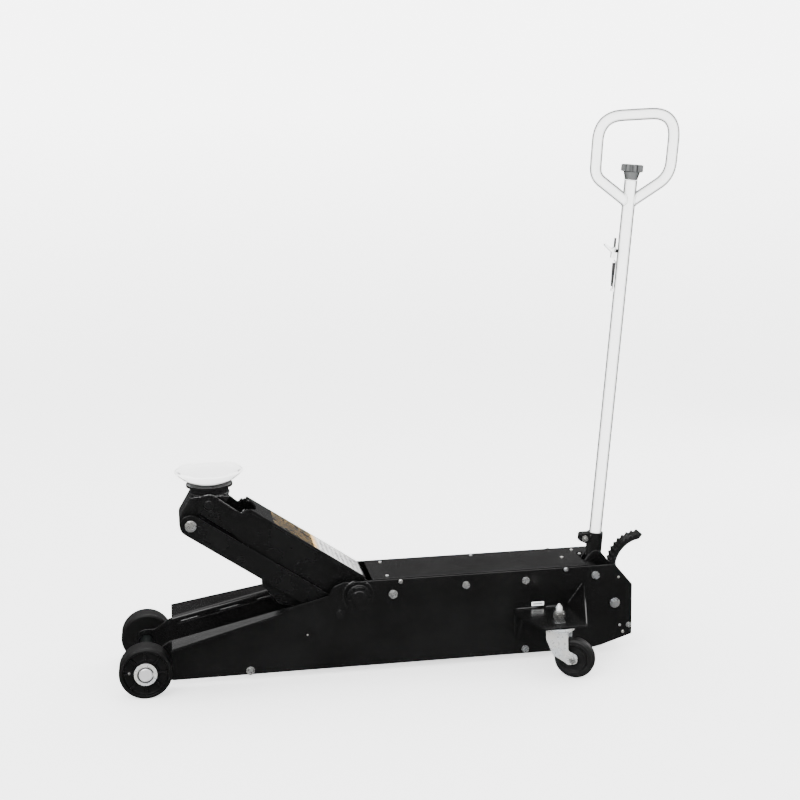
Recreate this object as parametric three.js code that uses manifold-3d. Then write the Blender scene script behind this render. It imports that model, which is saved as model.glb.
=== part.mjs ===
// Long-chassis hydraulic floor jack with a foot pedal, a pump handle and a rotating saddle.
// Units are millimetres. +Z is up, the saddle end points to -X and the handle end to +X.
// While the pieces are being drawn, X is measured from the front axle, Y from the middle plane
// and Z from the floor. The last step moves the whole jack so that its outline is centred in X.
// The jack stands with its arm raised; the small gaps between pieces are running clearances.

import * as THREE from 'three';
import { mergeVertices } from 'three/addons/utils/BufferGeometryUtils.js';
import Module from 'manifold-3d';

const wasm = await Module();
wasm.setup();

// ---------------------------------------------------------------- driving dimensions

const GAP = 0.4; // clearance between touching pieces
const PASS = 10; // how far a cutting tool runs past the surface it cuts

const WHEEL_R = 63.5;
const WHEEL_WIDTH = 55;
const WHEEL_MID_Y = 123.5;
const AXLE_R = 16;

const PLATE_IN = 80; // inner face of a side frame, from the middle plane
const PLATE_OUT = 86; // outer face of a side frame
const PLATE_TOP = 236;
const PLATE_BOTTOM = 17;
const REAR_X = 1227.5;
const DECK_TOP = 237.5;
const SHEET = 3;

const SLOPE_X = 65; // where the sloping front edge of a side frame starts
const SLOPE_Z = 121; // height of that edge at its start
const SLOPE = 0.2227; // rise per millimetre towards the arm pivot

const PIVOT = { x: 523, z: 201 }; // arm pivot
const LINK_PIVOT = { x: 477, z: 156 }; // rear pivot of the radius links
const ARM_LENGTH = 430; // between the arm's two pivots, and between the links' two pivots
const ARM_ANGLE = THREE.MathUtils.degToRad(34.5); // slope of the arm as it stands
const PIVOT_R = 19;

const LUG_LENGTH = 95; // arm pivot to ram pin
const LUG_ANGLE = THREE.MathUtils.degToRad(22.75); // lean of the lug from straight down
const RAM_R = 26;
const RAM_PIN_R = 11;

const SADDLE_X = 173;
const SADDLE_R = 83.5;
const HANDLE_PIVOT = { x: 1130, z: 212 };
const HANDLE_LEAN = 0.0927; // radians, back from upright
const HANDLE_OFFSET = 17.1; // handle axis behind its pivot
const TUBE_R = 15.9;
const TUBE_BORE_R = 12.5;
const LOOP_R = 14.3;
const LOOP_BORE_R = 11.8;

const PEDAL_PIVOT = { x: 1182, z: 134.6 };
const SWIVEL = { x: 1003, y: 200 };
const CASTER_R = 50;
const CASTER_TRAIL = 40;
const CASTER_YAW = THREE.MathUtils.degToRad(30);

// ---------------------------------------------------------------- finishes

function finish(color, roughness, metalness) {
  return { color, roughness, metalness };
}

const BLACK_PAINT = finish(0x151617, 0.42, 0.15);
const WHITE_PAINT = finish(0xe9ebe8, 0.5, 0.05);
const ZINC = finish(0xb9bdc0, 0.35, 0.9);
const BARE_STEEL = finish(0x8f9396, 0.3, 0.95);
const CHROME = finish(0xd2d5d8, 0.12, 1.0);
const CAST_IRON = finish(0x2a2b2c, 0.7, 0.4);
const WHEEL_BLACK = finish(0x141414, 0.6, 0.1);
const RUBBER = finish(0x1b1b1b, 0.85, 0);
const KNOB_GREY = finish(0x6f7272, 0.5, 0);

// ---------------------------------------------------------------- solid helpers

// Turns a closed three.js geometry into a solid, facing outwards.
function solid(geometry) {
  const bare = geometry.clone();
  bare.deleteAttribute('normal');
  bare.deleteAttribute('uv');
  const welded = mergeVertices(bare, 1e-4);
  const point = welded.attributes.position;
  const corners = welded.index.array;
  const kept = [];
  let volume = 0;
  const a = new THREE.Vector3();
  const b = new THREE.Vector3();
  const c = new THREE.Vector3();
  for (let i = 0; i < corners.length; i += 3) {
    const [p, q, r] = [corners[i], corners[i + 1], corners[i + 2]];
    if (p === q || q === r || r === p) continue;
    kept.push(p, q, r);
    a.fromBufferAttribute(point, p);
    b.fromBufferAttribute(point, q);
    c.fromBufferAttribute(point, r);
    volume += a.dot(b.cross(c));
  }
  if (volume < 0) kept.reverse();
  const mesh = new wasm.Mesh({
    numProp: 3,
    vertProperties: new Float32Array(point.array),
    triVerts: new Uint32Array(kept),
  });
  return new wasm.Manifold(mesh);
}

function geometryOf(body) {
  const mesh = body.getMesh();
  const geometry = new THREE.BufferGeometry();
  geometry.setAttribute('position', new THREE.BufferAttribute(new Float32Array(mesh.vertProperties), 3));
  geometry.setIndex(new THREE.BufferAttribute(new Uint32Array(mesh.triVerts), 1));
  geometry.computeVertexNormals();
  return geometry;
}

function moved(body, matrix) {
  const geometry = geometryOf(body);
  geometry.applyMatrix4(matrix);
  return solid(geometry);
}

function mirrored(body) {
  return moved(body, new THREE.Matrix4().makeScale(1, -1, 1));
}

function joined(...bodies) {
  return bodies.reduce((sum, body) => sum.add(body));
}

function cut(body, ...tools) {
  return tools.reduce((rest, tool) => rest.subtract(tool), body);
}

function block(x0, x1, y0, y1, z0, z1) {
  const box = new THREE.BoxGeometry(x1 - x0, y1 - y0, z1 - z0);
  return solid(box.translate((x0 + x1) / 2, (y0 + y1) / 2, (z0 + z1) / 2));
}

function roundX(y, z, r, x0, x1, sides = 24) {
  const bar = new THREE.CylinderGeometry(r, r, x1 - x0, sides).rotateZ(Math.PI / 2);
  return solid(bar.translate((x0 + x1) / 2, y, z));
}

function roundY(x, z, r, y0, y1, sides = 24) {
  const bar = new THREE.CylinderGeometry(r, r, y1 - y0, sides);
  return solid(bar.translate(x, (y0 + y1) / 2, z));
}

function roundZ(x, y, r, z0, z1, sides = 24, topR = r) {
  const bar = new THREE.CylinderGeometry(topR, r, z1 - z0, sides).rotateX(Math.PI / 2);
  return solid(bar.translate(x, y, (z0 + z1) / 2));
}

// A shape whose corners are given as [x, y] or, to be rounded, as [x, y, radius].
function outline(corners) {
  const shape = new THREE.Shape();
  const count = corners.length;
  corners.forEach(([x, y, radius], i) => {
    if (!radius) {
      if (i === 0) shape.moveTo(x, y);
      else shape.lineTo(x, y);
      return;
    }
    const here = new THREE.Vector2(x, y);
    const before = new THREE.Vector2(...corners[(i + count - 1) % count].slice(0, 2)).sub(here).normalize();
    const after = new THREE.Vector2(...corners[(i + 1) % count].slice(0, 2)).sub(here).normalize();
    const half = Math.acos(before.dot(after)) / 2;
    const reach = radius / Math.tan(half);
    const start = here.clone().addScaledVector(before, reach);
    const end = here.clone().addScaledVector(after, reach);
    const centre = here.clone().add(before.clone().add(after).setLength(radius / Math.sin(half)));
    const from = Math.atan2(start.y - centre.y, start.x - centre.x);
    const to = Math.atan2(end.y - centre.y, end.x - centre.x);
    let sweep = to - from;
    while (sweep > Math.PI) sweep -= 2 * Math.PI;
    while (sweep < -Math.PI) sweep += 2 * Math.PI;
    const steps = Math.max(2, Math.round(Math.abs(sweep) / 0.4));
    for (let k = 0; k <= steps; k += 1) {
      const angle = from + (sweep * k) / steps;
      const px = centre.x + radius * Math.cos(angle);
      const py = centre.y + radius * Math.sin(angle);
      if (i === 0 && k === 0) shape.moveTo(px, py);
      else shape.lineTo(px, py);
    }
  });
  return shape;
}

// A slab whose outline is drawn in X and Z, between two distances from the middle plane.
function slabXZ(corners, y0, y1) {
  const slab = new THREE.ExtrudeGeometry(outline(corners), { depth: y1 - y0, bevelEnabled: false });
  return solid(slab.rotateX(Math.PI / 2).translate(0, y1, 0));
}

function slabXY(corners, z0, z1) {
  const slab = new THREE.ExtrudeGeometry(outline(corners), { depth: z1 - z0, bevelEnabled: false });
  return solid(slab.translate(0, 0, z0));
}

function slabYZ(corners, x0, x1) {
  const slab = new THREE.ExtrudeGeometry(outline(corners), { depth: x1 - x0, bevelEnabled: false });
  const turn = new THREE.Matrix4().set(0, 0, 1, x0, 1, 0, 0, 0, 0, 1, 0, 0, 0, 0, 0, 1);
  return solid(slab.applyMatrix4(turn));
}

// A turned piece about the vertical axis. The profile lists [radius, height] around its section.
function turned(profile, sides = 36) {
  const points = profile.map(([r, z]) => new THREE.Vector2(r, z));
  points.push(points[0].clone());
  return solid(new THREE.LatheGeometry(points, sides).rotateX(Math.PI / 2));
}

// A bar with two rounded ends, drawn in X and Z.
function strap(p, q, rp, rq, y0, y1, sides = 20) {
  const length = Math.hypot(q.x - p.x, q.z - p.z);
  const along = Math.atan2(q.z - p.z, q.x - p.x);
  const tilt = Math.acos((rp - rq) / length);
  const corner = (c, r, angle) => [c.x + r * Math.cos(angle), c.z + r * Math.sin(angle)];
  const web = [
    corner(p, rp, along + tilt),
    corner(p, rp, along - tilt),
    corner(q, rq, along - tilt),
    corner(q, rq, along + tilt),
  ];
  return joined(
    slabXZ(web, y0, y1),
    roundY(p.x, p.z, rp, y0, y1, sides),
    roundY(q.x, q.z, rq, y0, y1, sides),
  );
}

// ---------------------------------------------------------------- chassis

const WEB = 6; // thickness of the side frames' sheet
const PAD = 3; // height of the raised pad round the arm pivot
const TIE_BOLTS = {
  front_tie_bolt: { x: 252, z: 27, r: 10 },
  tie_bolt_front: { x: 610.5, z: 198, r: 10.6 },
  tie_bolt_middle: { x: 795, z: 209, r: 9 },
  tie_bolt_rear: { x: 948.5, z: 210, r: 9 },
  lower_tie_bolt: { x: 947, z: 29, r: 9 },
};
const TIE_R = 6;
const LINK_BOLT_R = 8;
const STUD_R = 8;
const STUD_HEX_R = 9.4; // across the corners of the hexagon on a stud's end, halved

function slopeHeight(x) {
  return SLOPE_Z + SLOPE * (x - SLOPE_X);
}

// The flat side wall, with its nose around the front axle and its cut-off rear corners.
function sideWall() {
  const nose = 30;
  const corners = [
    [-nose, WHEEL_R - nose, 29],
    [24, WHEEL_R - nose],
    [62, PLATE_BOTTOM, 30],
    [1108, PLATE_BOTTOM],
    [1145, 23],
    [REAR_X, 48.5, 4],
    [REAR_X, 181, 4],
    [1182, PLATE_TOP, 3],
    [486, PLATE_TOP, 12],
    [462, 227, 14],
    [446, slopeHeight(440), 14],
    [SLOPE_X - 3, slopeHeight(SLOPE_X - 3), 12],
    [22, WHEEL_R + nose, 20],
    [-nose, WHEEL_R + nose, 29],
  ];
  return slabXZ(corners, PLATE_IN, PLATE_OUT);
}

// The outward flange along the sloping edge: widest behind the wheel, fading out at the pivot.
function frontFlange() {
  const plan = [
    [SLOPE_X, PLATE_IN + 1],
    [SLOPE_X, 168, 5],
    [322, 130, 6],
    [345, 99, 14],
    [452, 93, 3],
    [462, PLATE_IN + 1],
  ];
  const rise = 0.07;
  const slab = slabXY(plan, -WEB, 0);
  const tilt = new THREE.Matrix4().set(
    1, 0, 0, 0,
    0, 1, 0, 0,
    SLOPE, rise, 1, SLOPE_Z - SLOPE * SLOPE_X - rise * PLATE_OUT,
    0, 0, 0, 1,
  );
  return moved(slab, tilt);
}

// The rounded inside corner under the flange.
function flangeRoot() {
  const size = 9;
  const section = [[PLATE_OUT - 1, -size], [PLATE_OUT, -size], [PLATE_OUT + size, -3], [PLATE_OUT - 1, -3]];
  const slab = slabYZ(section, SLOPE_X + 4, 340);
  const tilt = new THREE.Matrix4().set(
    1, 0, 0, 0,
    0, 1, 0, 0,
    SLOPE, 0, 1, SLOPE_Z - SLOPE * SLOPE_X,
    0, 0, 0, 1,
  );
  return moved(slab, tilt);
}

function sideFrame() {
  const low = PLATE_IN - PASS;
  const high = PLATE_OUT + PASS;
  const pad = roundY(PIVOT.x, PIVOT.z, 36, PLATE_OUT - 1, PLATE_OUT + PAD, 28);
  const holes = [
    roundY(0, WHEEL_R, AXLE_R + GAP, low, high, 20),
    roundY(PIVOT.x, PIVOT.z, PIVOT_R + GAP, low, high, 20),
    roundY(LINK_PIVOT.x, LINK_PIVOT.z, LINK_BOLT_R + GAP, low, high, 16),
    roundY(HANDLE_PIVOT.x, HANDLE_PIVOT.z, STUD_R + GAP, low, high, 16),
    roundY(PEDAL_PIVOT.x, PEDAL_PIVOT.z, STUD_R + GAP, low, high, 16),
  ];
  Object.values(TIE_BOLTS).forEach(({ x, z }) => {
    holes.push(roundY(x, z, TIE_R + GAP, low, high, 12));
  });
  return cut(joined(sideWall(), frontFlange(), flangeRoot(), pad), ...holes);
}

// A bolt right across the chassis, with a hexagonal head or nut outside each side frame.
function tieBolt({ x, z, r }) {
  const face = PLATE_OUT + GAP;
  const head = 7;
  return joined(
    roundY(x, z, TIE_R, -face - head, face + head, 12),
    roundY(x, z, r, face, face + head, 6),
    roundY(x, z, r, -face - head, -face, 6),
  );
}

function pivotShaft() {
  return roundY(PIVOT.x, PIVOT.z, PIVOT_R, -112, 112, 24);
}

// A slotted round nut with six slots in its outer end.
function pivotNut() {
  const inner = PLATE_OUT + PAD + GAP;
  const outer = inner + 19;
  const crownHeight = 8;
  const collar = roundY(PIVOT.x, PIVOT.z, 30.5, inner, outer - crownHeight, 30);
  const crown = roundY(PIVOT.x, PIVOT.z, 28, outer - crownHeight - 1, outer, 6);
  const bore = roundY(PIVOT.x, PIVOT.z, PIVOT_R + GAP, inner - PASS, outer + PASS, 24);
  const slots = [];
  for (let k = 0; k < 3; k += 1) {
    const slot = block(-40, 40, outer - 6, outer + PASS, -3.5, 3.5);
    const turn = new THREE.Matrix4().makeTranslation(PIVOT.x, 0, PIVOT.z);
    turn.multiply(new THREE.Matrix4().makeRotationY((k * Math.PI) / 3));
    slots.push(moved(slot, turn));
  }
  return cut(joined(collar, crown), bore, ...slots);
}

const LINK_IN = 65;
const LINK_OUT = 73;

function linkPivotBolt() {
  const { x, z } = LINK_PIVOT;
  return joined(
    roundY(x, z, LINK_BOLT_R, LINK_IN - 4, PLATE_OUT + 7, 16),
    roundY(x, z, 12, LINK_IN - 4, LINK_IN - GAP, 20),
    roundY(x, z, 13, PLATE_OUT + GAP, PLATE_OUT + 7, 6),
  );
}

// A stud screwed through one side frame into the end of the handle's cross barrel.
function handlePivotBolt() {
  const { x, z } = HANDLE_PIVOT;
  return joined(
    roundY(x, z, STUD_R, 46, PLATE_OUT + 10, 16),
    roundY(x, z, 13, PLATE_OUT + GAP, PLATE_OUT + 2.4, 20),
    roundY(x, z, STUD_HEX_R, PLATE_OUT + 2.2, PLATE_OUT + 10, 6),
  );
}

function pedalPivotBolt() {
  const { x, z } = PEDAL_PIVOT;
  const end = PLATE_OUT + 11;
  return joined(
    roundY(x, z, STUD_R, -end, end, 16),
    roundY(x, z, 13.2, PLATE_OUT + GAP, PLATE_OUT + 2.8, 20),
    roundY(x, z, 13.2, -PLATE_OUT - 2.8, -PLATE_OUT - GAP, 20),
    roundY(x, z, STUD_HEX_R, PLATE_OUT + 2.6, end, 6),
    roundY(x, z, STUD_HEX_R, -end, -PLATE_OUT - 2.6, 6),
  );
}

// A folded cover: a flat top with a lip down each side, and a strip beside the handle opening.
function deckCover() {
  const edge = PLATE_IN - 0.6;
  const lip = 12;
  const [front, middle, rear] = [560, 1112, 1168];
  const top = slabXY(
    [[front, -edge], [middle, -edge], [middle, 34], [rear, 34], [rear, edge], [front, edge]],
    DECK_TOP - SHEET,
    DECK_TOP,
  );
  return joined(
    top,
    block(front, middle - 16, -edge, -edge + SHEET, DECK_TOP - SHEET - lip, DECK_TOP - 1),
    block(front, rear, edge - SHEET, edge, DECK_TOP - SHEET - lip, DECK_TOP - 1),
  );
}

// The end plate between the side frames, folded forward along its lower edge.
function rearCover() {
  const edge = PLATE_IN - 0.6;
  const foot = slabXZ([[1150, 29], [1222, 51], [1222, 54.5], [1150, 32.5]], -edge, edge);
  return joined(block(1219, 1222, -edge, edge, 51, 178), foot);
}

function axle() {
  return roundY(0, WHEEL_R, AXLE_R, -159, 159, 24);
}

// ---------------------------------------------------------------- front wheels

const WHEEL_FACE = WHEEL_MID_Y + WHEEL_WIDTH / 2;

function frontWheel() {
  const half = WHEEL_WIDTH / 2;
  const bore = AXLE_R + GAP;
  const web = half - 10;
  const tyre = turned([
    [bore, -half], [58, -half], [62, -half + 2], [WHEEL_R, -half + 6],
    [WHEEL_R, half - 6], [62, half - 2], [59, half], [54, half],
    [52, web], [31, web], [30, half], [bore, half],
  ]);
  const ribs = [];
  for (let k = 0; k < 8; k += 1) {
    const rib = block(29, 53, -2.5, 2.5, web - 1, half - 3);
    ribs.push(moved(rib, new THREE.Matrix4().makeRotationZ((k * Math.PI) / 4)));
  }
  const place = new THREE.Matrix4().makeTranslation(0, WHEEL_MID_Y, WHEEL_R);
  place.multiply(new THREE.Matrix4().makeRotationX(-Math.PI / 2));
  return moved(joined(tyre, ...ribs), place);
}

const WASHER = 3; // thickness of the washer outside a front wheel

function wheelWasher() {
  const face = WHEEL_FACE + GAP;
  const disc = roundY(0, WHEEL_R, 27.5, face, face + WASHER, 28);
  return cut(disc, roundY(0, WHEEL_R, AXLE_R + GAP, face - PASS, face + PASS, 24));
}

// An open snap ring with a gap towards the rear.
function circlip() {
  const face = WHEEL_FACE + 2 * GAP + WASHER;
  const ring = roundY(0, WHEEL_R, 20, face, face + 2, 24);
  const bore = roundY(0, WHEEL_R, AXLE_R + GAP, face - PASS, face + PASS, 24);
  const mouth = block(10, 30, face - PASS, face + PASS, WHEEL_R - 4, WHEEL_R + 4);
  return cut(ring, bore, mouth);
}

// ---------------------------------------------------------------- lift arm and links

const ARM_IN = 52;
const ARM_OUT = 59;
const ARM_TOP = 44.4; // top of the arm's upper plate above the line between its pivots
const ARM_PLATE = 6;
const HEAD_PIN_R = 12.5;
const LINK_PIN_R = 12;

// A point on the arm: u runs from the arm pivot towards the head, v square to it and upwards.
function onArm(u, v) {
  const c = Math.cos(ARM_ANGLE);
  const s = Math.sin(ARM_ANGLE);
  return { x: PIVOT.x - u * c + v * s, z: PIVOT.z + u * s + v * c };
}

const HEAD_PIVOT = onArm(ARM_LENGTH, 0);
const LINK_FRONT = {
  x: LINK_PIVOT.x - ARM_LENGTH * Math.cos(ARM_ANGLE),
  z: LINK_PIVOT.z + ARM_LENGTH * Math.sin(ARM_ANGLE),
};
const RAM_PIN = {
  x: PIVOT.x - LUG_LENGTH * Math.sin(LUG_ANGLE),
  z: PIVOT.z - LUG_LENGTH * Math.cos(LUG_ANGLE),
};

// One side wall of the arm, deep near the pivot and narrow at the head.
function armWall() {
  const uv = [
    [458, 28, 27.5], [458, -28, 27.5], [330, -32, 30], [228, -82, 20], [214, -102, 12],
    [150, -124, 18], [62, -84, 30], [-30, -50, 40], [-50, 10, 40], [-14, ARM_TOP - ARM_PLATE + 1],
    [346, ARM_TOP - ARM_PLATE + 1], [352, 23, 6],
  ];
  const corners = uv.map(([u, v, radius]) => {
    const point = onArm(u, v);
    return [point.x, point.z, radius];
  });
  return slabXZ(corners, ARM_IN, ARM_OUT);
}

// The upper plate, hollowed at its front edge so that the round saddle can drop past it.
function armTopPlate() {
  const half = 63.5;
  const plate = block(-342.6, -3.4, -half, half, ARM_TOP - ARM_PLATE, ARM_TOP);
  const hollow = roundZ(-410.8, 0, 92, 0, 80, 48);
  const place = new THREE.Matrix4().makeTranslation(PIVOT.x, 0, PIVOT.z);
  place.multiply(new THREE.Matrix4().makeRotationY(ARM_ANGLE));
  return moved(cut(plate, hollow), place);
}

function armCrossPlate() {
  const place = new THREE.Matrix4().makeTranslation(PIVOT.x, 0, PIVOT.z);
  place.multiply(new THREE.Matrix4().makeRotationY(ARM_ANGLE));
  return moved(block(-206, -199, -ARM_IN - 1, ARM_IN + 1, -70, ARM_TOP - 1), place);
}

function liftArm() {
  const wall = armWall();
  const barrel = roundY(PIVOT.x, PIVOT.z, 29, -ARM_OUT, ARM_OUT, 24);
  const lug = strap(PIVOT, RAM_PIN, 34, 20, -13, 13);
  const whole = joined(wall, mirrored(wall), armTopPlate(), armCrossPlate(), barrel, lug);
  return cut(
    whole,
    roundY(PIVOT.x, PIVOT.z, PIVOT_R + GAP, -80, 80, 24),
    roundY(HEAD_PIVOT.x, HEAD_PIVOT.z, HEAD_PIN_R + GAP, -80, 80, 20),
    roundY(RAM_PIN.x, RAM_PIN.z, RAM_PIN_R + GAP, -40, 40, 20),
  );
}

function ramPin() {
  return roundY(RAM_PIN.x, RAM_PIN.z, RAM_PIN_R, -32, 32, 20);
}

function radiusLink() {
  const bar = strap(LINK_PIVOT, LINK_FRONT, 25.9, 26, LINK_IN, LINK_OUT, 28);
  return cut(
    bar,
    roundY(LINK_PIVOT.x, LINK_PIVOT.z, LINK_BOLT_R + GAP, 50, 90, 16),
    roundY(LINK_FRONT.x, LINK_FRONT.z, LINK_PIN_R + GAP, 50, 90, 20),
  );
}

function linkFrontPin() {
  const { x, z } = LINK_FRONT;
  const face = LINK_OUT + GAP;
  return joined(
    roundY(x, z, LINK_PIN_R, -face - 1, face + 1, 20),
    roundY(x, z, 14.2, face, face + 5, 24),
    roundY(x, z, 14.2, -face - 5, -face, 24),
  );
}

// ---------------------------------------------------------------- head and saddle

// The forged head: a round neck on a body that reaches down to the links' front pin.
function saddleHead() {
  const bottom = LINK_FRONT;
  const side = [
    [216, 452, 8], [216, 462], [125, 462], [119, 452, 30], [bottom.x - 27, bottom.z + 14, 14],
    [bottom.x - 27, bottom.z - 27, 26], [bottom.x + 25, bottom.z - 27, 24], [188, 420, 16],
  ];
  const body = slabXZ(side, -46, 46);
  const neck = roundZ(170.5, 0, 45.5, 440, 481, 32);
  const flange = roundZ(SADDLE_X, 0, 57, 480, 487, 36);
  return cut(
    joined(body, neck, flange),
    roundZ(SADDLE_X, 0, 15 + GAP, 461, 500, 24),
    roundY(HEAD_PIVOT.x, HEAD_PIVOT.z, HEAD_PIN_R + GAP, -80, 80, 20),
    roundY(bottom.x, bottom.z, LINK_PIN_R + GAP, -80, 80, 20),
  );
}

function headPivotPin() {
  return roundY(HEAD_PIVOT.x, HEAD_PIVOT.z, HEAD_PIN_R, -61, 61, 20);
}

// The dished saddle on its short stem, with four raised lugs on the rim.
function saddle() {
  const base = 487 + GAP;
  const dish = turned([
    [0, 463], [15, 463], [15, base], [37, base], [50, base + 6], [64, base + 13], [76, base + 22],
    [SADDLE_R, base + 29], [SADDLE_R, base + 31.5], [79, base + 33], [74, base + 30.5],
    [68, base + 25], [56, base + 18.5], [32, base + 15], [0, base + 15],
  ]);
  const ring = cut(roundZ(0, 0, SADDLE_R - 0.5, base + 29.5, base + 36, 36), roundZ(0, 0, 75, 400, 600, 36));
  const place = new THREE.Matrix4().makeTranslation(SADDLE_X, 0, 0);
  const wedges = [];
  for (let k = 0; k < 4; k += 1) {
    const wedge = block(60, 95, -16, 16, base + 28, base + 60);
    wedges.push(moved(wedge, new THREE.Matrix4().makeRotationZ((k * Math.PI) / 2 + Math.PI / 4)));
  }
  const lugs = ring.intersect(joined(...wedges));
  return moved(joined(dish, lugs), place);
}

// ---------------------------------------------------------------- hydraulics

const CLEVIS_BACK = RAM_PIN.x + 62;
const CYLINDER_FRONT = 640;
const CYLINDER_BACK = 1000;
const CYLINDER_Z = 113;
const BLOCK_BACK = 1092;
const PLUNGER_Z = 182;
const VALVE_Z = 208;

// The forked end of the ram. Its slots leave room for the ram pin's small rise and fall.
function ramClevis() {
  const { x, z } = RAM_PIN;
  const side = [
    [x - 27, z - 36, 14], [CLEVIS_BACK, z - 32], [CLEVIS_BACK, z + 24], [x + 34, z + 24, 10],
    [x + 22, z + 33, 10], [x - 27, z + 33, 14],
  ];
  const fork = slabXZ(side, -28, 28);
  const mouth = block(x - 60, x + 44, -14, 14, z - 60, z + 60);
  const slot = slabXZ(
    [[x - 14, z - 20, 12], [x + 14, z - 20, 12], [x + 14, z + 17, 12], [x - 14, z + 17, 12]],
    -60,
    60,
  );
  return cut(fork, mouth, slot);
}

function ram() {
  return roundX(0, CYLINDER_Z, RAM_R, CLEVIS_BACK + GAP, 890, 28);
}

function liftCylinder() {
  const barrel = roundX(0, CYLINDER_Z, 44, CYLINDER_FRONT, CYLINDER_BACK, 32);
  return cut(barrel, roundX(0, CYLINDER_Z, RAM_R + GAP, CYLINDER_FRONT - PASS, CYLINDER_BACK - 14, 28));
}

// The oil tank around the rear of the cylinder, with its filler plug on top.
function reservoir() {
  const shell = roundX(0, CYLINDER_Z, 60, 712, CYLINDER_BACK, 32);
  const inside = roundX(0, CYLINDER_Z, 55, 718, CYLINDER_BACK - 6, 32);
  const middle = roundX(0, CYLINDER_Z, 44 + GAP, 700, CYLINDER_BACK + PASS, 32);
  const plug = roundZ(860, 0, 11, CYLINDER_Z + 58, CYLINDER_Z + 68, 6);
  return joined(cut(shell, inside, middle), plug);
}

function pumpBlock() {
  const front = CYLINDER_BACK + GAP;
  const body = block(front, BLOCK_BACK, -50, 50, 62, 196);
  const valveBoss = block(1044, BLOCK_BACK, -16, 16, 190, 226);
  return cut(
    joined(body, valveBoss),
    roundX(0, PLUNGER_Z - 4, 9 + GAP, 1012, BLOCK_BACK + PASS, 16),
    roundX(0, VALVE_Z + 3, 6 + GAP, 1052, BLOCK_BACK + PASS, 16),
  );
}

function pumpPlunger() {
  const z = PLUNGER_Z - 4;
  return joined(roundX(0, z, 9, 1045, 1128, 16), roundX(0, z, 11, 1127, 1133, 16));
}

function valveShaft() {
  const z = VALVE_Z + 3;
  return joined(roundX(0, z, 6, 1054, 1107, 16), roundX(0, z, 9, 1097, 1107, 12));
}

// ---------------------------------------------------------------- handle

// Pieces of the handle are drawn upright about the handle's pivot and then leaned back.
function leaned(body) {
  const place = new THREE.Matrix4().makeTranslation(HANDLE_PIVOT.x, 0, HANDLE_PIVOT.z);
  place.multiply(new THREE.Matrix4().makeRotationY(HANDLE_LEAN));
  return moved(body, place);
}

// The socket, its two cheeks, the cross barrel and the bar that pushes the pump plunger.
function handleSocket() {
  const tube = roundZ(HANDLE_OFFSET, 0, 20.5, 22, 90, 24);
  const cheekIn = 13;
  const cheekOut = 23;
  const top = { x: HANDLE_OFFSET, z: 30 };
  const foot = { x: 15.5, z: -29 };
  const centre = { x: 0, z: 0 };
  const cheek = joined(
    strap(centre, top, 18, 16, cheekIn, cheekOut),
    strap(centre, foot, 16, 9, cheekIn, cheekOut),
    roundY(0, 0, 18, cheekIn, 74, 20),
  );
  const bar = roundY(foot.x, foot.z, 9, -cheekOut, cheekOut, 16);
  const ear = slabXZ([[-26, 66, 5], [-26, 86, 7], [6, 88], [6, 60], [-8, 60, 5]], -11, 11);
  const split = block(-40, 12, -2, 2, 52, 100);
  return leaned(cut(
    joined(tube, cheek, mirrored(cheek), bar, ear),
    roundZ(HANDLE_OFFSET, 0, TUBE_R + GAP, -40, 120, 24),
    roundY(0, 0, STUD_R + GAP, 44, 90, 16),
    roundY(0, 0, STUD_R + GAP, -90, -44, 16),
    roundY(-13, 74, 4 + GAP, -30, 30, 12),
    split,
  ));
}

function clampBolt() {
  return leaned(joined(
    roundY(-13, 74, 4, -18, 18, 12),
    roundY(-13, 74, 8.5, -18, -11 - GAP, 6),
    roundY(-13, 74, 8.5, 11 + GAP, 18, 6),
  ));
}

// The centreline of the grip loop: a skewed D that starts and ends inside the main tube.
function loopPath() {
  const corners = [
    [17, 933], [-76, 993, 40], [-79, 1137, 66], [116, 1163, 58], [116, 1007, 70], [17, 933],
  ];
  const path = new THREE.CurvePath();
  let last = new THREE.Vector3(corners[0][0], 0, corners[0][1]);
  for (let i = 1; i < corners.length; i += 1) {
    const here = new THREE.Vector3(corners[i][0], 0, corners[i][1]);
    const radius = corners[i][2];
    if (!radius) {
      path.add(new THREE.LineCurve3(last, here));
      return path;
    }
    const before = new THREE.Vector3(corners[i - 1][0], 0, corners[i - 1][1]).sub(here).normalize();
    const after = new THREE.Vector3(corners[i + 1][0], 0, corners[i + 1][1]).sub(here).normalize();
    const reach = radius / Math.tan(Math.acos(before.dot(after)) / 2);
    const start = here.clone().addScaledVector(before, reach);
    const end = here.clone().addScaledVector(after, reach);
    path.add(new THREE.LineCurve3(last, start));
    path.add(new THREE.QuadraticBezierCurve3(start, here, end));
    last = end;
  }
  return path;
}

function tubeAlong(path, radius, steps, sides) {
  const section = new THREE.Shape();
  for (let k = 0; k < sides; k += 1) {
    const angle = (2 * Math.PI * k) / sides;
    const [x, y] = [radius * Math.cos(angle), radius * Math.sin(angle)];
    if (k === 0) section.moveTo(x, y);
    else section.lineTo(x, y);
  }
  const tube = new THREE.ExtrudeGeometry(section, { steps, extrudePath: path, bevelEnabled: false });
  return solid(tube);
}

function handleTube() {
  const path = loopPath();
  const outer = joined(roundZ(HANDLE_OFFSET, 0, TUBE_R, 26, 990, 24), tubeAlong(path, LOOP_R, 42, 12));
  return leaned(cut(
    outer,
    tubeAlong(path, LOOP_BORE_R, 42, 6),
    roundZ(HANDLE_OFFSET, 0, TUBE_BORE_R, 0, 1000, 16),
  ));
}

function releaseRod() {
  return leaned(joined(
    roundZ(HANDLE_OFFSET, 0, 6, 16, 990 - GAP, 16),
    roundZ(HANDLE_OFFSET, 0, 9, 16, 28, 12),
  ));
}

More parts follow.
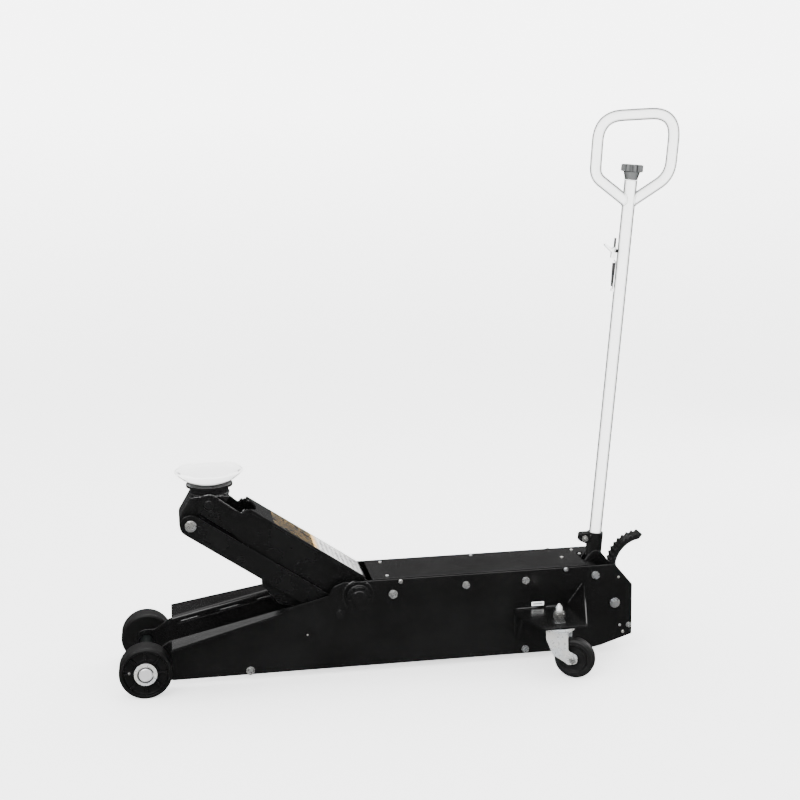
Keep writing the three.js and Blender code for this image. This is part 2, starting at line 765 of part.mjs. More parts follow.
// The lobed grip knob with its tapered neck.
function releaseKnob() {
  const neck = roundZ(0, 0, TUBE_R, 990 + GAP, 1010, 24, 20.5);
  const core = roundZ(0, 0, 24.5, 1009, 1028.5, 32);
  const lobes = [];
  for (let k = 0; k < 8; k += 1) {
    const angle = (k * Math.PI) / 4;
    lobes.push(roundZ(21.5 * Math.cos(angle), 21.5 * Math.sin(angle), 7, 1010, 1027.5, 10));
  }
  const place = new THREE.Matrix4().makeTranslation(HANDLE_OFFSET, 0, 0);
  return leaned(moved(joined(neck, core, ...lobes), place));
}

// The catch on the front of the handle: a small plate with a thumb lever and a guide pin.
function latchLever() {
  const front = HANDLE_OFFSET - TUBE_R;
  const half = 4;
  const plate = slabXZ(
    [[front - 17, 795, 3], [front - 6, 795, 3], [front - 3, 822, 3], [front - 16, 822, 4]],
    -half,
    half,
  );
  const lever = strap({ x: front - 13, z: 812 }, { x: front - 34, z: 827 }, 4, 2.5, -half, half, 12);
  const guidePin = roundZ(front - 9, 0, 3, 820, 846, 12);
  const pivot = roundY(front - 5.5, 814, 4.6, -12, 12, 12);
  return leaned(joined(plate, lever, guidePin, pivot));
}

function coil(path, wire, steps) {
  return tubeAlong(path, wire, steps, 5);
}

class Helix extends THREE.Curve {
  constructor(radius, endRadius, height, turns) {
    super();
    Object.assign(this, { radius, endRadius, height, turns });
  }

  getPoint(t, target = new THREE.Vector3()) {
    const angle = 2 * Math.PI * this.turns * t;
    const r = this.radius + (this.endRadius - this.radius) * t;
    return target.set(r * Math.cos(angle), r * Math.sin(angle), this.height * t);
  }
}

function latchSpring() {
  const front = HANDLE_OFFSET - TUBE_R;
  const spring = coil(new Helix(2.2, 3.0, 62, 7), 0.75, 56);
  return leaned(moved(spring, new THREE.Matrix4().makeTranslation(front - 8, 0, 725)));
}

// ---------------------------------------------------------------- foot pedal

const PEDAL_FAR = -30;
const PEDAL_NEAR = -66;
const PEDAL_ARC = { x: 1261, z: 221 };

// The curved tread: a band about an arc centre, with cross teeth on its upper face.
function pedalTread() {
  const inner = 72.5;
  const outer = 83;
  const start = THREE.MathUtils.degToRad(172);
  const end = THREE.MathUtils.degToRad(98);
  const teeth = 9;
  const corners = [];
  const at = (r, angle) => [PEDAL_ARC.x + r * Math.cos(angle), PEDAL_ARC.z + r * Math.sin(angle)];
  for (let k = 0; k <= 12; k += 1) corners.push(at(inner, start + ((end - start) * k) / 12));
  for (let k = teeth; k > 0; k -= 1) {
    const here = start + ((end - 0.12 - start) * k) / teeth;
    const next = start + ((end - 0.12 - start) * (k - 0.35)) / teeth;
    corners.push(at(outer, here), at(outer + 3.5, next));
  }
  corners.push(at(outer, start));
  return slabXZ(corners, PEDAL_NEAR, PEDAL_FAR);
}

function footPedal() {
  const hub = PEDAL_PIVOT;
  const stem = strap(hub, { x: 1184, z: 226 }, 17, 11, -53, -43);
  const sleeve = roundY(hub.x, hub.z, 14, -66, -34, 20);
  const nose = strap(hub, { x: 1152, z: 146 }, 14, 8, -53, -43, 16);
  const whole = joined(pedalTread(), stem, sleeve, nose);
  return cut(whole, roundY(hub.x, hub.z, STUD_R + GAP, -90, 0, 16));
}

function pedalSpring() {
  const spring = coil(new Helix(12.5, 12.5, 18, 4), 1.8, 44);
  const place = new THREE.Matrix4().makeTranslation(PEDAL_PIVOT.x, -29, PEDAL_PIVOT.z);
  place.multiply(new THREE.Matrix4().makeRotationX(-Math.PI / 2));
  return moved(spring, place);
}

// ---------------------------------------------------------------- rear casters

const SHELF_TOP = 136;

// The shelf that carries a caster, its gusset below and its sloping stay above.
function casterBracket() {
  const wall = PLATE_OUT + GAP;
  const shelf = slabXY(
    [[919, wall], [1054, wall], [1068, 237, 6], [955, 237, 6], [912, 110, 6]],
    SHELF_TOP - 6,
    SHELF_TOP,
  );
  const gusset = slabYZ(
    [[wall, 62], [100, 62], [146, 122], [146, SHELF_TOP - 5], [wall, SHELF_TOP - 5]],
    921,
    927,
  );
  return cut(joined(shelf, gusset, casterStay()), roundZ(SWIVEL.x, SWIVEL.y, 8 + GAP, 100, 200, 16));
}

function casterStay() {
  const wall = PLATE_OUT + GAP;
  const low = new THREE.Vector3(1052, wall, SHELF_TOP - 3);
  const high = new THREE.Vector3(1098, wall, 198);
  const far = new THREE.Vector3(1064, 226, SHELF_TOP - 3);
  const normal = high.clone().sub(low).cross(far.clone().sub(low)).normalize();
  const points = [];
  [0, -5].forEach((depth) => {
    [low, high, far].forEach((corner) => points.push(corner.clone().addScaledVector(normal, depth)));
  });
  const geometry = new THREE.BufferGeometry().setFromPoints(points);
  geometry.setIndex([0, 1, 2, 5, 4, 3, 0, 3, 4, 0, 4, 1, 1, 4, 5, 1, 5, 2, 2, 5, 3, 2, 3, 0]);
  const wedge = solid(geometry);
  return wedge.intersect(block(1000, 1150, wall, 260, 120, 220));
}

// Caster pieces are drawn with the wheel trailing along +X from the swivel axis, then turned.
function castered(body) {
  const place = new THREE.Matrix4().makeTranslation(SWIVEL.x, SWIVEL.y, 0);
  place.multiply(new THREE.Matrix4().makeRotationZ(CASTER_YAW));
  return moved(body, place);
}

function casterFork() {
  const crown = joined(
    roundZ(0, 0, 40, 121, SHELF_TOP - 6 - GAP, 28),
    roundZ(0, 0, 34, 115, 122, 28),
    roundZ(0, 0, 8, 120, 176, 16),
    roundZ(0, 0, 8, 175, 184, 16, 3),
  );
  const side = [
    [-27, 118], [-27, 96, 12], [-10, 58, 14], [CASTER_TRAIL - 10, CASTER_R - 14, 9],
    [CASTER_TRAIL + 12, CASTER_R - 8, 10], [CASTER_TRAIL + 10, CASTER_R + 12, 8], [28, 72, 8], [28, 118],
  ];
  const leg = slabXZ(side, 18, 21.5);
  const bore = roundY(CASTER_TRAIL, CASTER_R, 5 + GAP, -40, 40, 12);
  return castered(cut(joined(crown, leg, mirrored(leg)), bore));
}

function casterNut() {
  const spacer = roundZ(0, 0, 12.4, SHELF_TOP + GAP, 149, 20);
  const hex = roundZ(0, 0, 15.5, 148.8, 162, 6);
  return castered(cut(joined(spacer, hex), roundZ(0, 0, 8 + GAP, 100, 200, 16)));
}

function casterWheel() {
  const half = 15;
  const bore = 5 + GAP;
  const rim = turned([
    [bore, -17], [12, -17], [13, -9], [32, -9], [34, -half], [45, -half], [CASTER_R, -10],
    [CASTER_R, 10], [45, half], [34, half], [32, 9], [13, 9], [12, 17], [bore, 17],
  ], 24);
  const place = new THREE.Matrix4().makeTranslation(CASTER_TRAIL, 0, CASTER_R);
  place.multiply(new THREE.Matrix4().makeRotationX(-Math.PI / 2));
  return castered(moved(rim, place));
}

function casterAxle() {
  return castered(joined(
    roundY(CASTER_TRAIL, CASTER_R, 5, -28, 28, 12),
    roundY(CASTER_TRAIL, CASTER_R, 9, 21.5 + GAP, 28, 6),
    roundY(CASTER_TRAIL, CASTER_R, 9, -28, -21.5 - GAP, 6),
  ));
}

// ---------------------------------------------------------------- assembly

const jack = new THREE.Group();

function place(name, body, look) {
  const mesh = new THREE.Mesh(geometryOf(body), new THREE.MeshStandardMaterial(look));
  mesh.name = name;
  jack.add(mesh);
}

// The right-hand piece is drawn at +Y and the left-hand one is its mirror image.
function placePair(name, body, look) {
  place(`${name}_right`, body, look);
  place(`${name}_left`, mirrored(body), look);
}

placePair('side_frame', sideFrame(), BLACK_PAINT);
place('front_axle', axle(), BARE_STEEL);
Object.entries(TIE_BOLTS).forEach(([name, spec]) => place(name, tieBolt(spec), ZINC));
place('deck_cover', deckCover(), BLACK_PAINT);
place('rear_cover', rearCover(), BLACK_PAINT);
place('arm_pivot_shaft', pivotShaft(), BLACK_PAINT);
placePair('arm_pivot_nut', pivotNut(), CAST_IRON);
placePair('link_pivot_bolt', linkPivotBolt(), CAST_IRON);
placePair('handle_pivot_bolt', handlePivotBolt(), ZINC);
place('pedal_pivot_bolt', pedalPivotBolt(), ZINC);

placePair('front_wheel', frontWheel(), WHEEL_BLACK);
placePair('wheel_washer', wheelWasher(), ZINC);
placePair('circlip', circlip(), ZINC);

place('lift_arm', liftArm(), BLACK_PAINT);
place('ram_pin', ramPin(), BARE_STEEL);
placePair('radius_link', radiusLink(), BLACK_PAINT);
place('link_front_pin', linkFrontPin(), ZINC);
place('saddle_head', saddleHead(), BLACK_PAINT);
place('head_pivot_pin', headPivotPin(), BLACK_PAINT);
place('saddle', saddle(), WHITE_PAINT);

place('ram_clevis', ramClevis(), BARE_STEEL);
place('ram', ram(), CHROME);
place('lift_cylinder', liftCylinder(), BLACK_PAINT);
place('reservoir', reservoir(), BLACK_PAINT);
place('pump_block', pumpBlock(), CAST_IRON);
place('pump_plunger', pumpPlunger(), CHROME);
place('valve_shaft', valveShaft(), BARE_STEEL);

place('handle_socket', handleSocket(), BLACK_PAINT);
place('clamp_bolt', clampBolt(), ZINC);
place('handle_tube', handleTube(), WHITE_PAINT);
place('release_rod', releaseRod(), BARE_STEEL);
place('release_knob', releaseKnob(), KNOB_GREY);
place('latch_lever', latchLever(), ZINC);
place('latch_spring', latchSpring(), BARE_STEEL);

place('foot_pedal', footPedal(), BLACK_PAINT);
place('pedal_spring', pedalSpring(), BARE_STEEL);

placePair('caster_bracket', casterBracket(), BLACK_PAINT);
placePair('caster_fork', casterFork(), ZINC);
placePair('caster_nut', casterNut(), ZINC);
placePair('caster_wheel', casterWheel(), RUBBER);
placePair('caster_axle', casterAxle(), ZINC);

// Centre the outline over the origin in X; it is already centred in Y and standing on Z = 0.
const outlineBox = new THREE.Box3().setFromObject(jack);
const middle = (outlineBox.min.x + outlineBox.max.x) / 2;
jack.children.forEach((mesh) => mesh.geometry.translate(-middle, 0, 0));

export default jack;
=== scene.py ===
"""Long-chassis hydraulic floor jack: detailed pieces, materials, floor, light and camera.

Shapes are drawn in millimetres. X is measured from the front axle towards the handle, Y from the
middle plane to the right, and Z from the floor. Every piece is turned into metres and set in the
row's frame when it is added.
"""

import math

import bmesh
import bpy
from mathutils import Matrix, Vector, noise


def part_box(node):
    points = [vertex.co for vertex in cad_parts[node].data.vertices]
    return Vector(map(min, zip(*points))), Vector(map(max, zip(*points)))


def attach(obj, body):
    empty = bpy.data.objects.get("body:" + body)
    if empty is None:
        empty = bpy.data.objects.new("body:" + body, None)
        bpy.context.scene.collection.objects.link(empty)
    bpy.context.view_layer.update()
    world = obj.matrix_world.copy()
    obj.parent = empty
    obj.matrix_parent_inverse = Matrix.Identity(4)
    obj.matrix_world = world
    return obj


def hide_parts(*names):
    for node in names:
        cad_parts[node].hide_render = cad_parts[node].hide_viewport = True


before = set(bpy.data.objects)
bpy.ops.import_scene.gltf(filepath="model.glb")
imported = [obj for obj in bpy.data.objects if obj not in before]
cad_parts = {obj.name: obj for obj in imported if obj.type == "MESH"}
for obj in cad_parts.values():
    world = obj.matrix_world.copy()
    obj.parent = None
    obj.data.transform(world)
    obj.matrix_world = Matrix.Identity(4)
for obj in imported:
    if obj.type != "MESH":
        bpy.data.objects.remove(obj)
noise.seed_set(4)  # without it the weld beads would differ from run to run
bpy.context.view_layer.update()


def middle_of(node):
    low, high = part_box(node)
    return (low + high) / 2


MM = 0.001
AXLE_AT = middle_of("front_axle")
TO_ROW = Matrix.Translation((AXLE_AT.x, 0, 0)) @ Matrix.Scale(MM, 4)
FACES_Y = Matrix(((1, 0, 0, 0), (0, 0, -1, 0), (0, 1, 0, 0), (0, 0, 0, 1)))
FINE = 96  # segments of a large turned piece
SMALL = 40  # segments of a small turned piece
WELD_GRAIN = 7.0  # millimetres between the ripples of a weld


# ------------------------------------------------------------------ dimensions

WHEEL_R = 63.5
WHEEL_HALF = 27.5
WHEEL_MID_Y = 123.5
AXLE_R = 16.0
WALL_IN = 80.0
WALL_OUT = 86.0
SHEET = 6.0
DECK_TOP = 237.5
REAR_X = 1227.5
SLOPE_X = 65.0
SLOPE_Z = 121.0
SLOPE = 0.2227
FLANGE_RISE = 0.07
PIVOT = (523.0, 201.0)
LINK_PIVOT = (477.0, 156.0)
ARM_LENGTH = 430.0
ARM_ANGLE = math.radians(34.5)
ARM_IN = 52.0
ARM_OUT = 59.0
ARM_TOP = 44.4
ARM_PLATE = 6.0
LUG_LENGTH = 95.0
LUG_ANGLE = math.radians(22.75)
SADDLE_X = 173.0
SADDLE_R = 83.5
SADDLE_BASE = 487.4
HANDLE_PIVOT = (1130.0, 212.0)
HANDLE_LEAN = 0.0927
HANDLE_OFFSET = 17.1
TUBE_R = 15.9
LOOP_R = 14.1
PEDAL_PIVOT = (1182.0, 134.6)
PEDAL_ARC = (1261.0, 221.0)
SWIVEL = (1003.0, 200.0)
CASTER_R = 50.0
CASTER_TRAIL = 40.0
CASTER_YAW = math.radians(30)
SHELF_TOP = 136.0


# ------------------------------------------------------------------ outlines


def fillet(corners, step=0.16, closed=True):
    """Points of an outline whose corners are (a, b) or, to be rounded, (a, b, radius)."""
    points = []
    count = len(corners)
    for i, corner in enumerate(corners):
        here = Vector(corner[:2])
        radius = corner[2] if len(corner) > 2 else 0
        at_end = not closed and i in (0, count - 1)
        if not radius or at_end:
            points.append(here)
            continue
        before = (Vector(corners[i - 1][:2]) - here).normalized()
        after = (Vector(corners[(i + 1) % count][:2]) - here).normalized()
        half = math.acos(max(-1, min(1, before.dot(after)))) / 2
        if half > 1.56:
            points.append(here)
            continue
        start = here + before * (radius / math.tan(half))
        end = here + after * (radius / math.tan(half))
        centre = here + (before + after).normalized() * (radius / math.sin(half))
        a = math.atan2(start.y - centre.y, start.x - centre.x)
        b = math.atan2(end.y - centre.y, end.x - centre.x)
        sweep = (b - a + math.pi) % (2 * math.pi) - math.pi
        steps = max(2, math.ceil(abs(sweep) / step))
        for k in range(steps + 1):
            angle = a + sweep * k / steps
            points.append(centre + radius * Vector((math.cos(angle), math.sin(angle))))
    return points


def ring(centre, radius, sides=SMALL):
    turn = 2 * math.pi / sides
    return [Vector((centre[0] + radius * math.cos(turn * k), centre[1] + radius * math.sin(turn * k)))
            for k in range(sides)]


def strap_outline(p, q, rp, rq, steps=20):
    """The outline of a bar with two rounded ends."""
    p, q = Vector(p), Vector(q)
    along = math.atan2(q.y - p.y, q.x - p.x)
    tilt = math.acos((rp - rq) / (q - p).length)
    points = []
    for k in range(steps + 1):
        angle = along + tilt + (2 * math.pi - 2 * tilt) * k / steps
        points.append(p + rp * Vector((math.cos(angle), math.sin(angle))))
    for k in range(steps + 1):
        angle = along - tilt + 2 * tilt * k / steps
        points.append(q + rq * Vector((math.cos(angle), math.sin(angle))))
    return points


# ------------------------------------------------------------------ shapes (bmesh, in millimetres)


def slab(loops, low, high, bevel=0.8, matrix=None):
    """A flat piece with rounded edges: loops[0] is its outline and the others are holes."""
    curve = bpy.data.curves.new("outline", "CURVE")
    curve.dimensions = "2D"
    curve.fill_mode = "BOTH"
    curve.extrude = (high - low) / 2 - bevel
    curve.bevel_depth = bevel
    curve.bevel_resolution = 2
    curve.offset = -bevel
    for loop in loops:
        spline = curve.splines.new("POLY")
        spline.points.add(len(loop) - 1)
        for point, spot in zip(spline.points, loop):
            point.co = (spot[0], spot[1], 0, 1)
        spline.use_cyclic_u = True
    holder = bpy.data.objects.new("outline", curve)
    bpy.context.scene.collection.objects.link(holder)
    bpy.context.view_layer.update()
    made = holder.evaluated_get(bpy.context.evaluated_depsgraph_get()).to_mesh()
    shape = bmesh.new()
    shape.from_mesh(made)
    bpy.data.objects.remove(holder)
    bpy.data.curves.remove(curve)
    bmesh.ops.remove_doubles(shape, verts=shape.verts, dist=0.002)
    bmesh.ops.dissolve_degenerate(shape, edges=shape.edges, dist=0.001)
    shape.transform(Matrix.Translation((0, 0, (low + high) / 2)))
    bmesh.ops.recalc_face_normals(shape, faces=shape.faces)
    if matrix is not None:
        shape.transform(matrix)
    return shape


def slab_xz(loops, y0, y1, bevel=0.8):
    """A slab whose outline is drawn in X and Z, between two distances from the middle plane."""
    return slab(loops, -y1, -y0, bevel, FACES_Y)


def slab_yz(loops, x0, x1, bevel=0.8):
    turn = Matrix(((0, 0, 1, 0), (1, 0, 0, 0), (0, 1, 0, 0), (0, 0, 0, 1)))
    return slab(loops, x0, x1, bevel, turn)


def loft(sections, closed_ends=True, looped=False):
    """A skin over rows of points; every row is a closed loop with the same number of points."""
    shape = bmesh.new()
    rows = [[shape.verts.new(p) for p in section] for section in sections]
    count = len(rows[0])
    pairs = list(zip(rows, rows[1:]))
    if looped:
        pairs.append((rows[-1], rows[0]))
    for first, second in pairs:
        for k in range(count):
            n = (k + 1) % count
            shape.faces.new((first[k], first[n], second[n], second[k]))
    if closed_ends and not looped:
        shape.faces.new(rows[0])
        shape.faces.new(rows[-1])
    bmesh.ops.recalc_face_normals(shape, faces=shape.faces)
    return shape


def turned(profile, matrix=None, sides=FINE, lift=None):
    """A turned piece about Z. profile lists (radius, height, fillet); it closes on itself or starts
    and ends on the axis. lift(angle, radius, height) may raise points of the rim."""
    points = fillet(profile, step=0.3, closed=profile[0][0] > 0)
    shape = bmesh.new()
    rows = []
    for spot in points:
        if spot.x < 0.01:
            rows.append([shape.verts.new((0, 0, spot.y))] * sides)
            continue
        row = []
        for k in range(sides):
            angle = 2 * math.pi * k / sides
            height = spot.y + (lift(angle, spot.x, spot.y) if lift else 0)
            row.append(shape.verts.new((spot.x * math.cos(angle), spot.x * math.sin(angle), height)))
        rows.append(row)
    pairs = list(zip(rows, rows[1:]))
    if profile[0][0] > 0:
        pairs.append((rows[-1], rows[0]))
    for first, second in pairs:
        for k in range(sides):
            n = (k + 1) % sides
            corners = list(dict.fromkeys((first[k], first[n], second[n], second[k])))
            if len(corners) > 2:
                shape.faces.new(corners)
    bmesh.ops.recalc_face_normals(shape, faces=shape.faces)
    if matrix is not None:
        shape.transform(matrix)
    return shape


def bar(radius, low, high, matrix=None, chamfer=0.8, sides=SMALL):
    """A round bar about Z with chamfered ends."""
    profile = [(0, low), (radius - chamfer, low), (radius, low + chamfer),
               (radius, high - chamfer), (radius - chamfer, high), (0, high)]
    return turned(profile, matrix, sides)


def hexagon(radius, low, high, matrix=None, bore=0.0, both=False):
    """A hexagon head or nut about Z whose upper corners are chamfered by a cone."""
    sides = 60
    flat = radius * math.cos(math.pi / 6)
    crown = flat * 0.95
    shape = bmesh.new()

    def edge(angle):
        nearest = (angle + math.pi / 6) % (math.pi / 3) - math.pi / 6
        return flat / math.cos(nearest)

    def row(size, height):
        made = []
        for k in range(sides):
            angle = 2 * math.pi * k / sides
            r, z = size(angle), height(angle)
            made.append(shape.verts.new((r * math.cos(angle), r * math.sin(angle), z)))
        return made

    def drop(angle):
        return (edge(angle) - crown) * math.tan(math.radians(30))

    rows = [row(lambda a: bore, lambda a: low)] if bore else []
    if both:
        rows.append(row(lambda a: crown, lambda a: low))
        rows.append(row(edge, lambda a: low + drop(a)))
    else:
        rows.append(row(edge, lambda a: low))
    rows.append(row(edge, lambda a: high - drop(a)))
    rows.append(row(lambda a: crown, lambda a: high))
    if bore:
        rows.append(row(lambda a: bore, lambda a: high))
        rows.append(rows[0])
    else:
        rows.append(row(lambda a: crown * 0.86, lambda a: high - 0.25))
    for first, second in zip(rows, rows[1:]):
        for k in range(sides):
            n = (k + 1) % sides
            shape.faces.new((first[k], first[n], second[n], second[k]))
    if not bore:
        shape.faces.new(rows[0])
        shape.faces.new(rows[-1])
    bmesh.ops.recalc_face_normals(shape, faces=shape.faces)
    if matrix is not None:
        shape.transform(matrix)
    return shape


def pipe(points, radius, sides=28, looped=False, capped=True, start_up=(0, 1, 0)):
    """A round section swept along points; radius is a number or a function of the point's index."""
    sections = []
    count = len(points)
    up = Vector(start_up)
    for i, point in enumerate(points):
        if looped:
            along = Vector(points[(i + 1) % count]) - Vector(points[i - 1])
        else:
            along = Vector(points[min(i + 1, count - 1)]) - Vector(points[max(i - 1, 0)])
        along.normalize()
        side = along.cross(up).normalized()
        up = side.cross(along).normalized()
        r = radius(i) if callable(radius) else radius
        sections.append([
            Vector(point) + side * r * math.cos(2 * math.pi * k / sides)
            + up * r * math.sin(2 * math.pi * k / sides)
            for k in range(sides)
        ])
    return loft(sections, capped, looped)


def spaced(points, step):
    """Points at even steps along a polyline."""
    result = [Vector(points[0])]
    spare = 0.0
    for a, b in zip(points, points[1:]):
        a, b = Vector(a), Vector(b)
        length = (b - a).length
        if length < 1e-6:
            continue
        place = step - spare
        while place <= length:
            result.append(a.lerp(b, place / length))
            place += step
        spare = length - (place - step)
    return result


def weld(points, radius=3.2, up=(0, 1, 0)):
    """A weld bead: a low rippled cord laid along points, with an uneven edge."""
    path = spaced(points, 1.5)
    phase = noise.noise(Vector(path[0]) * 0.37) * 6
    swing = [p + Vector(noise.noise_vector(p * 0.11)) * 0.5 for p in path]
    count = len(swing)

    def size(i):
        ripple = abs(math.sin(math.pi * (i * 1.5 / WELD_GRAIN) + phase))
        ends = min(1.0, 0.35 + 0.25 * min(i, count - 1 - i))
        return radius * ends * (0.86 + 0.22 * ripple)

    return pipe(swing, size, sides=12, start_up=up)


def joined(*shapes):
    whole = bmesh.new()
    for shape in shapes:
        mesh = bpy.data.meshes.new("part")
        shape.to_mesh(mesh)
        shape.free()
        whole.from_mesh(mesh)
        bpy.data.meshes.remove(mesh)
    return whole


def copy_of(shape, matrix):
    twin = shape.copy()
    twin.transform(matrix)
    if matrix.determinant() < 0:
        bmesh.ops.reverse_faces(twin, faces=twin.faces)
    return twin


MIRROR = Matrix.Diagonal((1, -1, 1, 1))


def along_y(x, z, y=0.0, facing=1):
    """A frame whose Z axis points along +Y (or -Y) from the point (x, y, z)."""
    turn = Matrix.Rotation(-math.pi / 2 * facing, 4, "X")
    return Matrix.Translation((x, y, z)) @ turn


def along_x(y, z, x=0.0):
    return Matrix.Translation((x, y, z)) @ Matrix.Rotation(math.pi / 2, 4, "Y")


def piece(name, shape, body, material, stands_for=(), sharp=32, slot=None, weighted=True):
    """Adds a shape as a named object that rides on a body."""
    mesh = bpy.data.meshes.new(name)
    shape.transform(TO_ROW)
    shape.to_mesh(mesh)
    shape.free()
    mesh.polygons.foreach_set("use_smooth", [True] * len(mesh.polygons))
    mesh.set_sharp_from_angle(angle=math.radians(sharp))
    mesh.materials.append(material)
    made = bpy.data.objects.new(name, mesh)
    bpy.context.scene.collection.objects.link(made)
    if weighted:
        normals = made.modifiers.new("normals", "WEIGHTED_NORMAL")
        normals.keep_sharp = True
    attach(made, body)
    if stands_for:
        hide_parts(*([stands_for] if isinstance(stands_for, str) else stands_for))
    return made


def pair(name, shape, body, material, stands_for=None, **rest):
    """The right-hand piece as drawn, and its mirror image on the left. body and stands_for may hold
    {side}, which becomes right or left."""
    twin = copy_of(shape, MIRROR)
    for side, form in (("right", shape), ("left", twin)):
        node = stands_for.format(side=side) if stands_for else ()
        piece(f"{name}_{side}", form, body.format(side=side), material, node, **rest)


# ------------------------------------------------------------------ materials


class Look:
    """A node material under construction. Patterns are placed in the object's own metres."""

    def __init__(self, name):
        self.material = bpy.data.materials.new(name)
        self.material.use_nodes = True
        self.tree = self.material.node_tree
        self.surface = self.tree.nodes["Principled BSDF"]
        self.coords = self.tree.nodes.new("ShaderNodeTexCoord").outputs["Object"]

    def node(self, kind, inputs=None, **settings):
        made = self.tree.nodes.new(kind)
        for key, value in settings.items():
            setattr(made, key, value)
        for key, value in (inputs or {}).items():
            self.feed(made.inputs[key], value)
        return made

    def feed(self, socket, value):
        if isinstance(value, bpy.types.NodeSocket):
            self.tree.links.new(value, socket)
        else:
            socket.default_value = value

    def noise(self, scale, detail=3.0, rough=0.5, stretch=None, shift=(0, 0, 0)):
        place = self.coords
        if stretch or any(shift):
            place = self.node("ShaderNodeMapping", {
                "Vector": self.coords, "Scale": stretch or (1, 1, 1), "Location": shift,
            }).outputs[0]
        made = self.node("ShaderNodeTexNoise", {
            "Vector": place, "Scale": scale, "Detail": detail, "Roughness": rough,
        })
        return made.outputs["Fac"]

    def spread(self, value, low, high, to_low=0.0, to_high=1.0):
        made = self.node("ShaderNodeMapRange", {
            "Value": value, "From Min": low, "From Max": high, "To Min": to_low, "To Max": to_high,
        })
        return made.outputs["Result"]

    def maths(self, operation, a, b=0.0):
        made = self.node("ShaderNodeMath", operation=operation)
        self.feed(made.inputs[0], a)
        self.feed(made.inputs[1], b)
        return made.outputs[0]

    def blend(self, share, first, second):
        made = self.node("ShaderNodeMix", data_type="RGBA")
        self.feed(made.inputs["Factor"], share)
        self.feed(made.inputs[6], first)
        self.feed(made.inputs[7], second)
        return made.outputs[2]

    def bump(self, height, strength, distance, under=None):
        made = self.node("ShaderNodeBump", {
            "Height": height, "Strength": strength, "Distance": distance,
        })
        if under is not None:
            self.tree.links.new(under, made.inputs["Normal"])
        return made.outputs["Normal"]

    def facing_up(self):
        normal = self.node("ShaderNodeNewGeometry").outputs["Normal"]
        return self.node("ShaderNodeSeparateXYZ", {"Vector": normal}).outputs["Z"]

    def set(self, **values):
        for key, value in values.items():
            self.feed(self.surface.inputs[key.replace("_", " ")], value)
        return self.material


def grey(value, tint=(1.0, 1.0, 1.0)):
    return (value * tint[0], value * tint[1], value * tint[2], 1.0)


def black_enamel(name, level=0.003, rough=0.3, cast=0.0, shine=0.3):
    """Sprayed black enamel: orange peel, cloudy gloss, faint rubs, and dust on what faces up."""
    look = Look(name)
    cloud = look.noise(7, 4, 0.55)
    fine = look.noise(900, 2)
    rub = look.noise(55, 6, 0.75, stretch=(0.35, 2.2, 2.2), shift=(3.1, 0.4, 1.7))
    rubbed = look.spread(rub, 0.5, 0.85)
    patches = look.spread(look.noise(38, 6, 0.65), 0.38, 0.72)
    dust = look.maths("MULTIPLY", look.spread(look.facing_up(), 0.55, 1.0), patches)
    base = look.blend(look.spread(cloud, 0.3, 0.7), grey(level * 0.8), grey(level * 1.35, (0.97, 1.0, 1.0)))
    base = look.blend(look.maths("MULTIPLY", rubbed, 0.1), base, grey(0.007))
    base = look.blend(look.maths("MULTIPLY", dust, 0.03), base, grey(0.03, (1.0, 0.98, 0.94)))
    gloss = look.spread(cloud, 0.3, 0.7, rough - 0.03, rough + 0.05)
    gloss = look.maths("ADD", gloss, look.maths("MULTIPLY", rubbed, 0.02))
    gloss = look.maths("ADD", gloss, look.maths("MULTIPLY", dust, 0.02))
    skin = look.bump(look.noise(320, 2, 0.4), 0.12, 0.0006)
    skin = look.bump(fine, 0.05, 0.0002, skin)
    if cast:
        skin = look.bump(look.noise(150, 5, 0.6), cast, 0.0012, skin)
    return look.set(Base_Color=base, Roughness=gloss, Normal=skin, Coat_Weight=0.03,
                    Coat_Roughness=0.18, Specular_IOR_Level=shine)


def powder_white(name, level=0.8, rough=0.42, edge_shade_from=0.2, edge_shade_to=0.5):
    """White powder coat: a fine pebble, a little cloudiness, grey rub marks, and painted shade that darkens
    the edges turned away from view.
    """
    look = Look(name)
    cloud = look.noise(9, 3)
    marks = look.spread(look.noise(46, 6, 0.72, stretch=(1.0, 1.0, 0.4)), 0.64, 0.8)
    base = look.blend(cloud, grey(level * 0.97, (1.0, 1.0, 0.985)), grey(level * 1.02, (0.995, 1.0, 1.0)))
    base = look.blend(look.maths("MULTIPLY", marks, 0.3), base, grey(0.45, (1.0, 0.98, 0.95)))
    edge = look.node("ShaderNodeLayerWeight", {"Blend": 0.5}).outputs["Facing"]
    # painted shade: the colour goes near black where the surface turns away from view, drawing dark outlines
    painted_edge_shade = look.spread(edge, edge_shade_from, edge_shade_to, 0.0, 0.95)
    base = look.blend(painted_edge_shade, base, grey(0.03, (0.97, 1.0, 1.0)))
    gloss = look.spread(cloud, 0.3, 0.7, rough - 0.06, rough + 0.08)
    skin = look.bump(look.noise(1100, 2, 0.5), 0.1, 0.0003)
    skin = look.bump(look.noise(260, 2, 0.4), 0.06, 0.0005, skin)
    shine = look.spread(edge, edge_shade_from, edge_shade_to, 0.5, 0.02)
    return look.set(Base_Color=base, Roughness=gloss, Normal=skin, Specular_IOR_Level=shine)


def zinc_plate(name, level=0.6, rough=0.27, warm=0.0, metal=0.9, pitted=0.12):
    """Bright zinc plate: faint blue and yellow bloom, a spangle in its gloss, and fine pits."""
    look = Look(name)
    bloom = look.noise(24, 4, 0.6)
    tint = look.blend(look.spread(bloom, 0.35, 0.68), grey(level, (0.95, 0.99, 1.03)),
                      grey(level * 1.04, (1.02 + warm, 1.0, 0.93 - warm)))
    pits = look.spread(look.noise(420, 3, 0.6), 0.58, 0.72)
    tint = look.blend(look.maths("MULTIPLY", pits, pitted), tint, grey(level * 0.55))
    gloss = look.spread(look.noise(130, 4, 0.6), 0.3, 0.7, rough - 0.09, rough + 0.14)
    skin = look.bump(look.noise(300, 3, 0.55), pitted * 0.34, 0.0004)
    return look.set(Base_Color=tint, Metallic=metal, Roughness=gloss, Normal=skin)


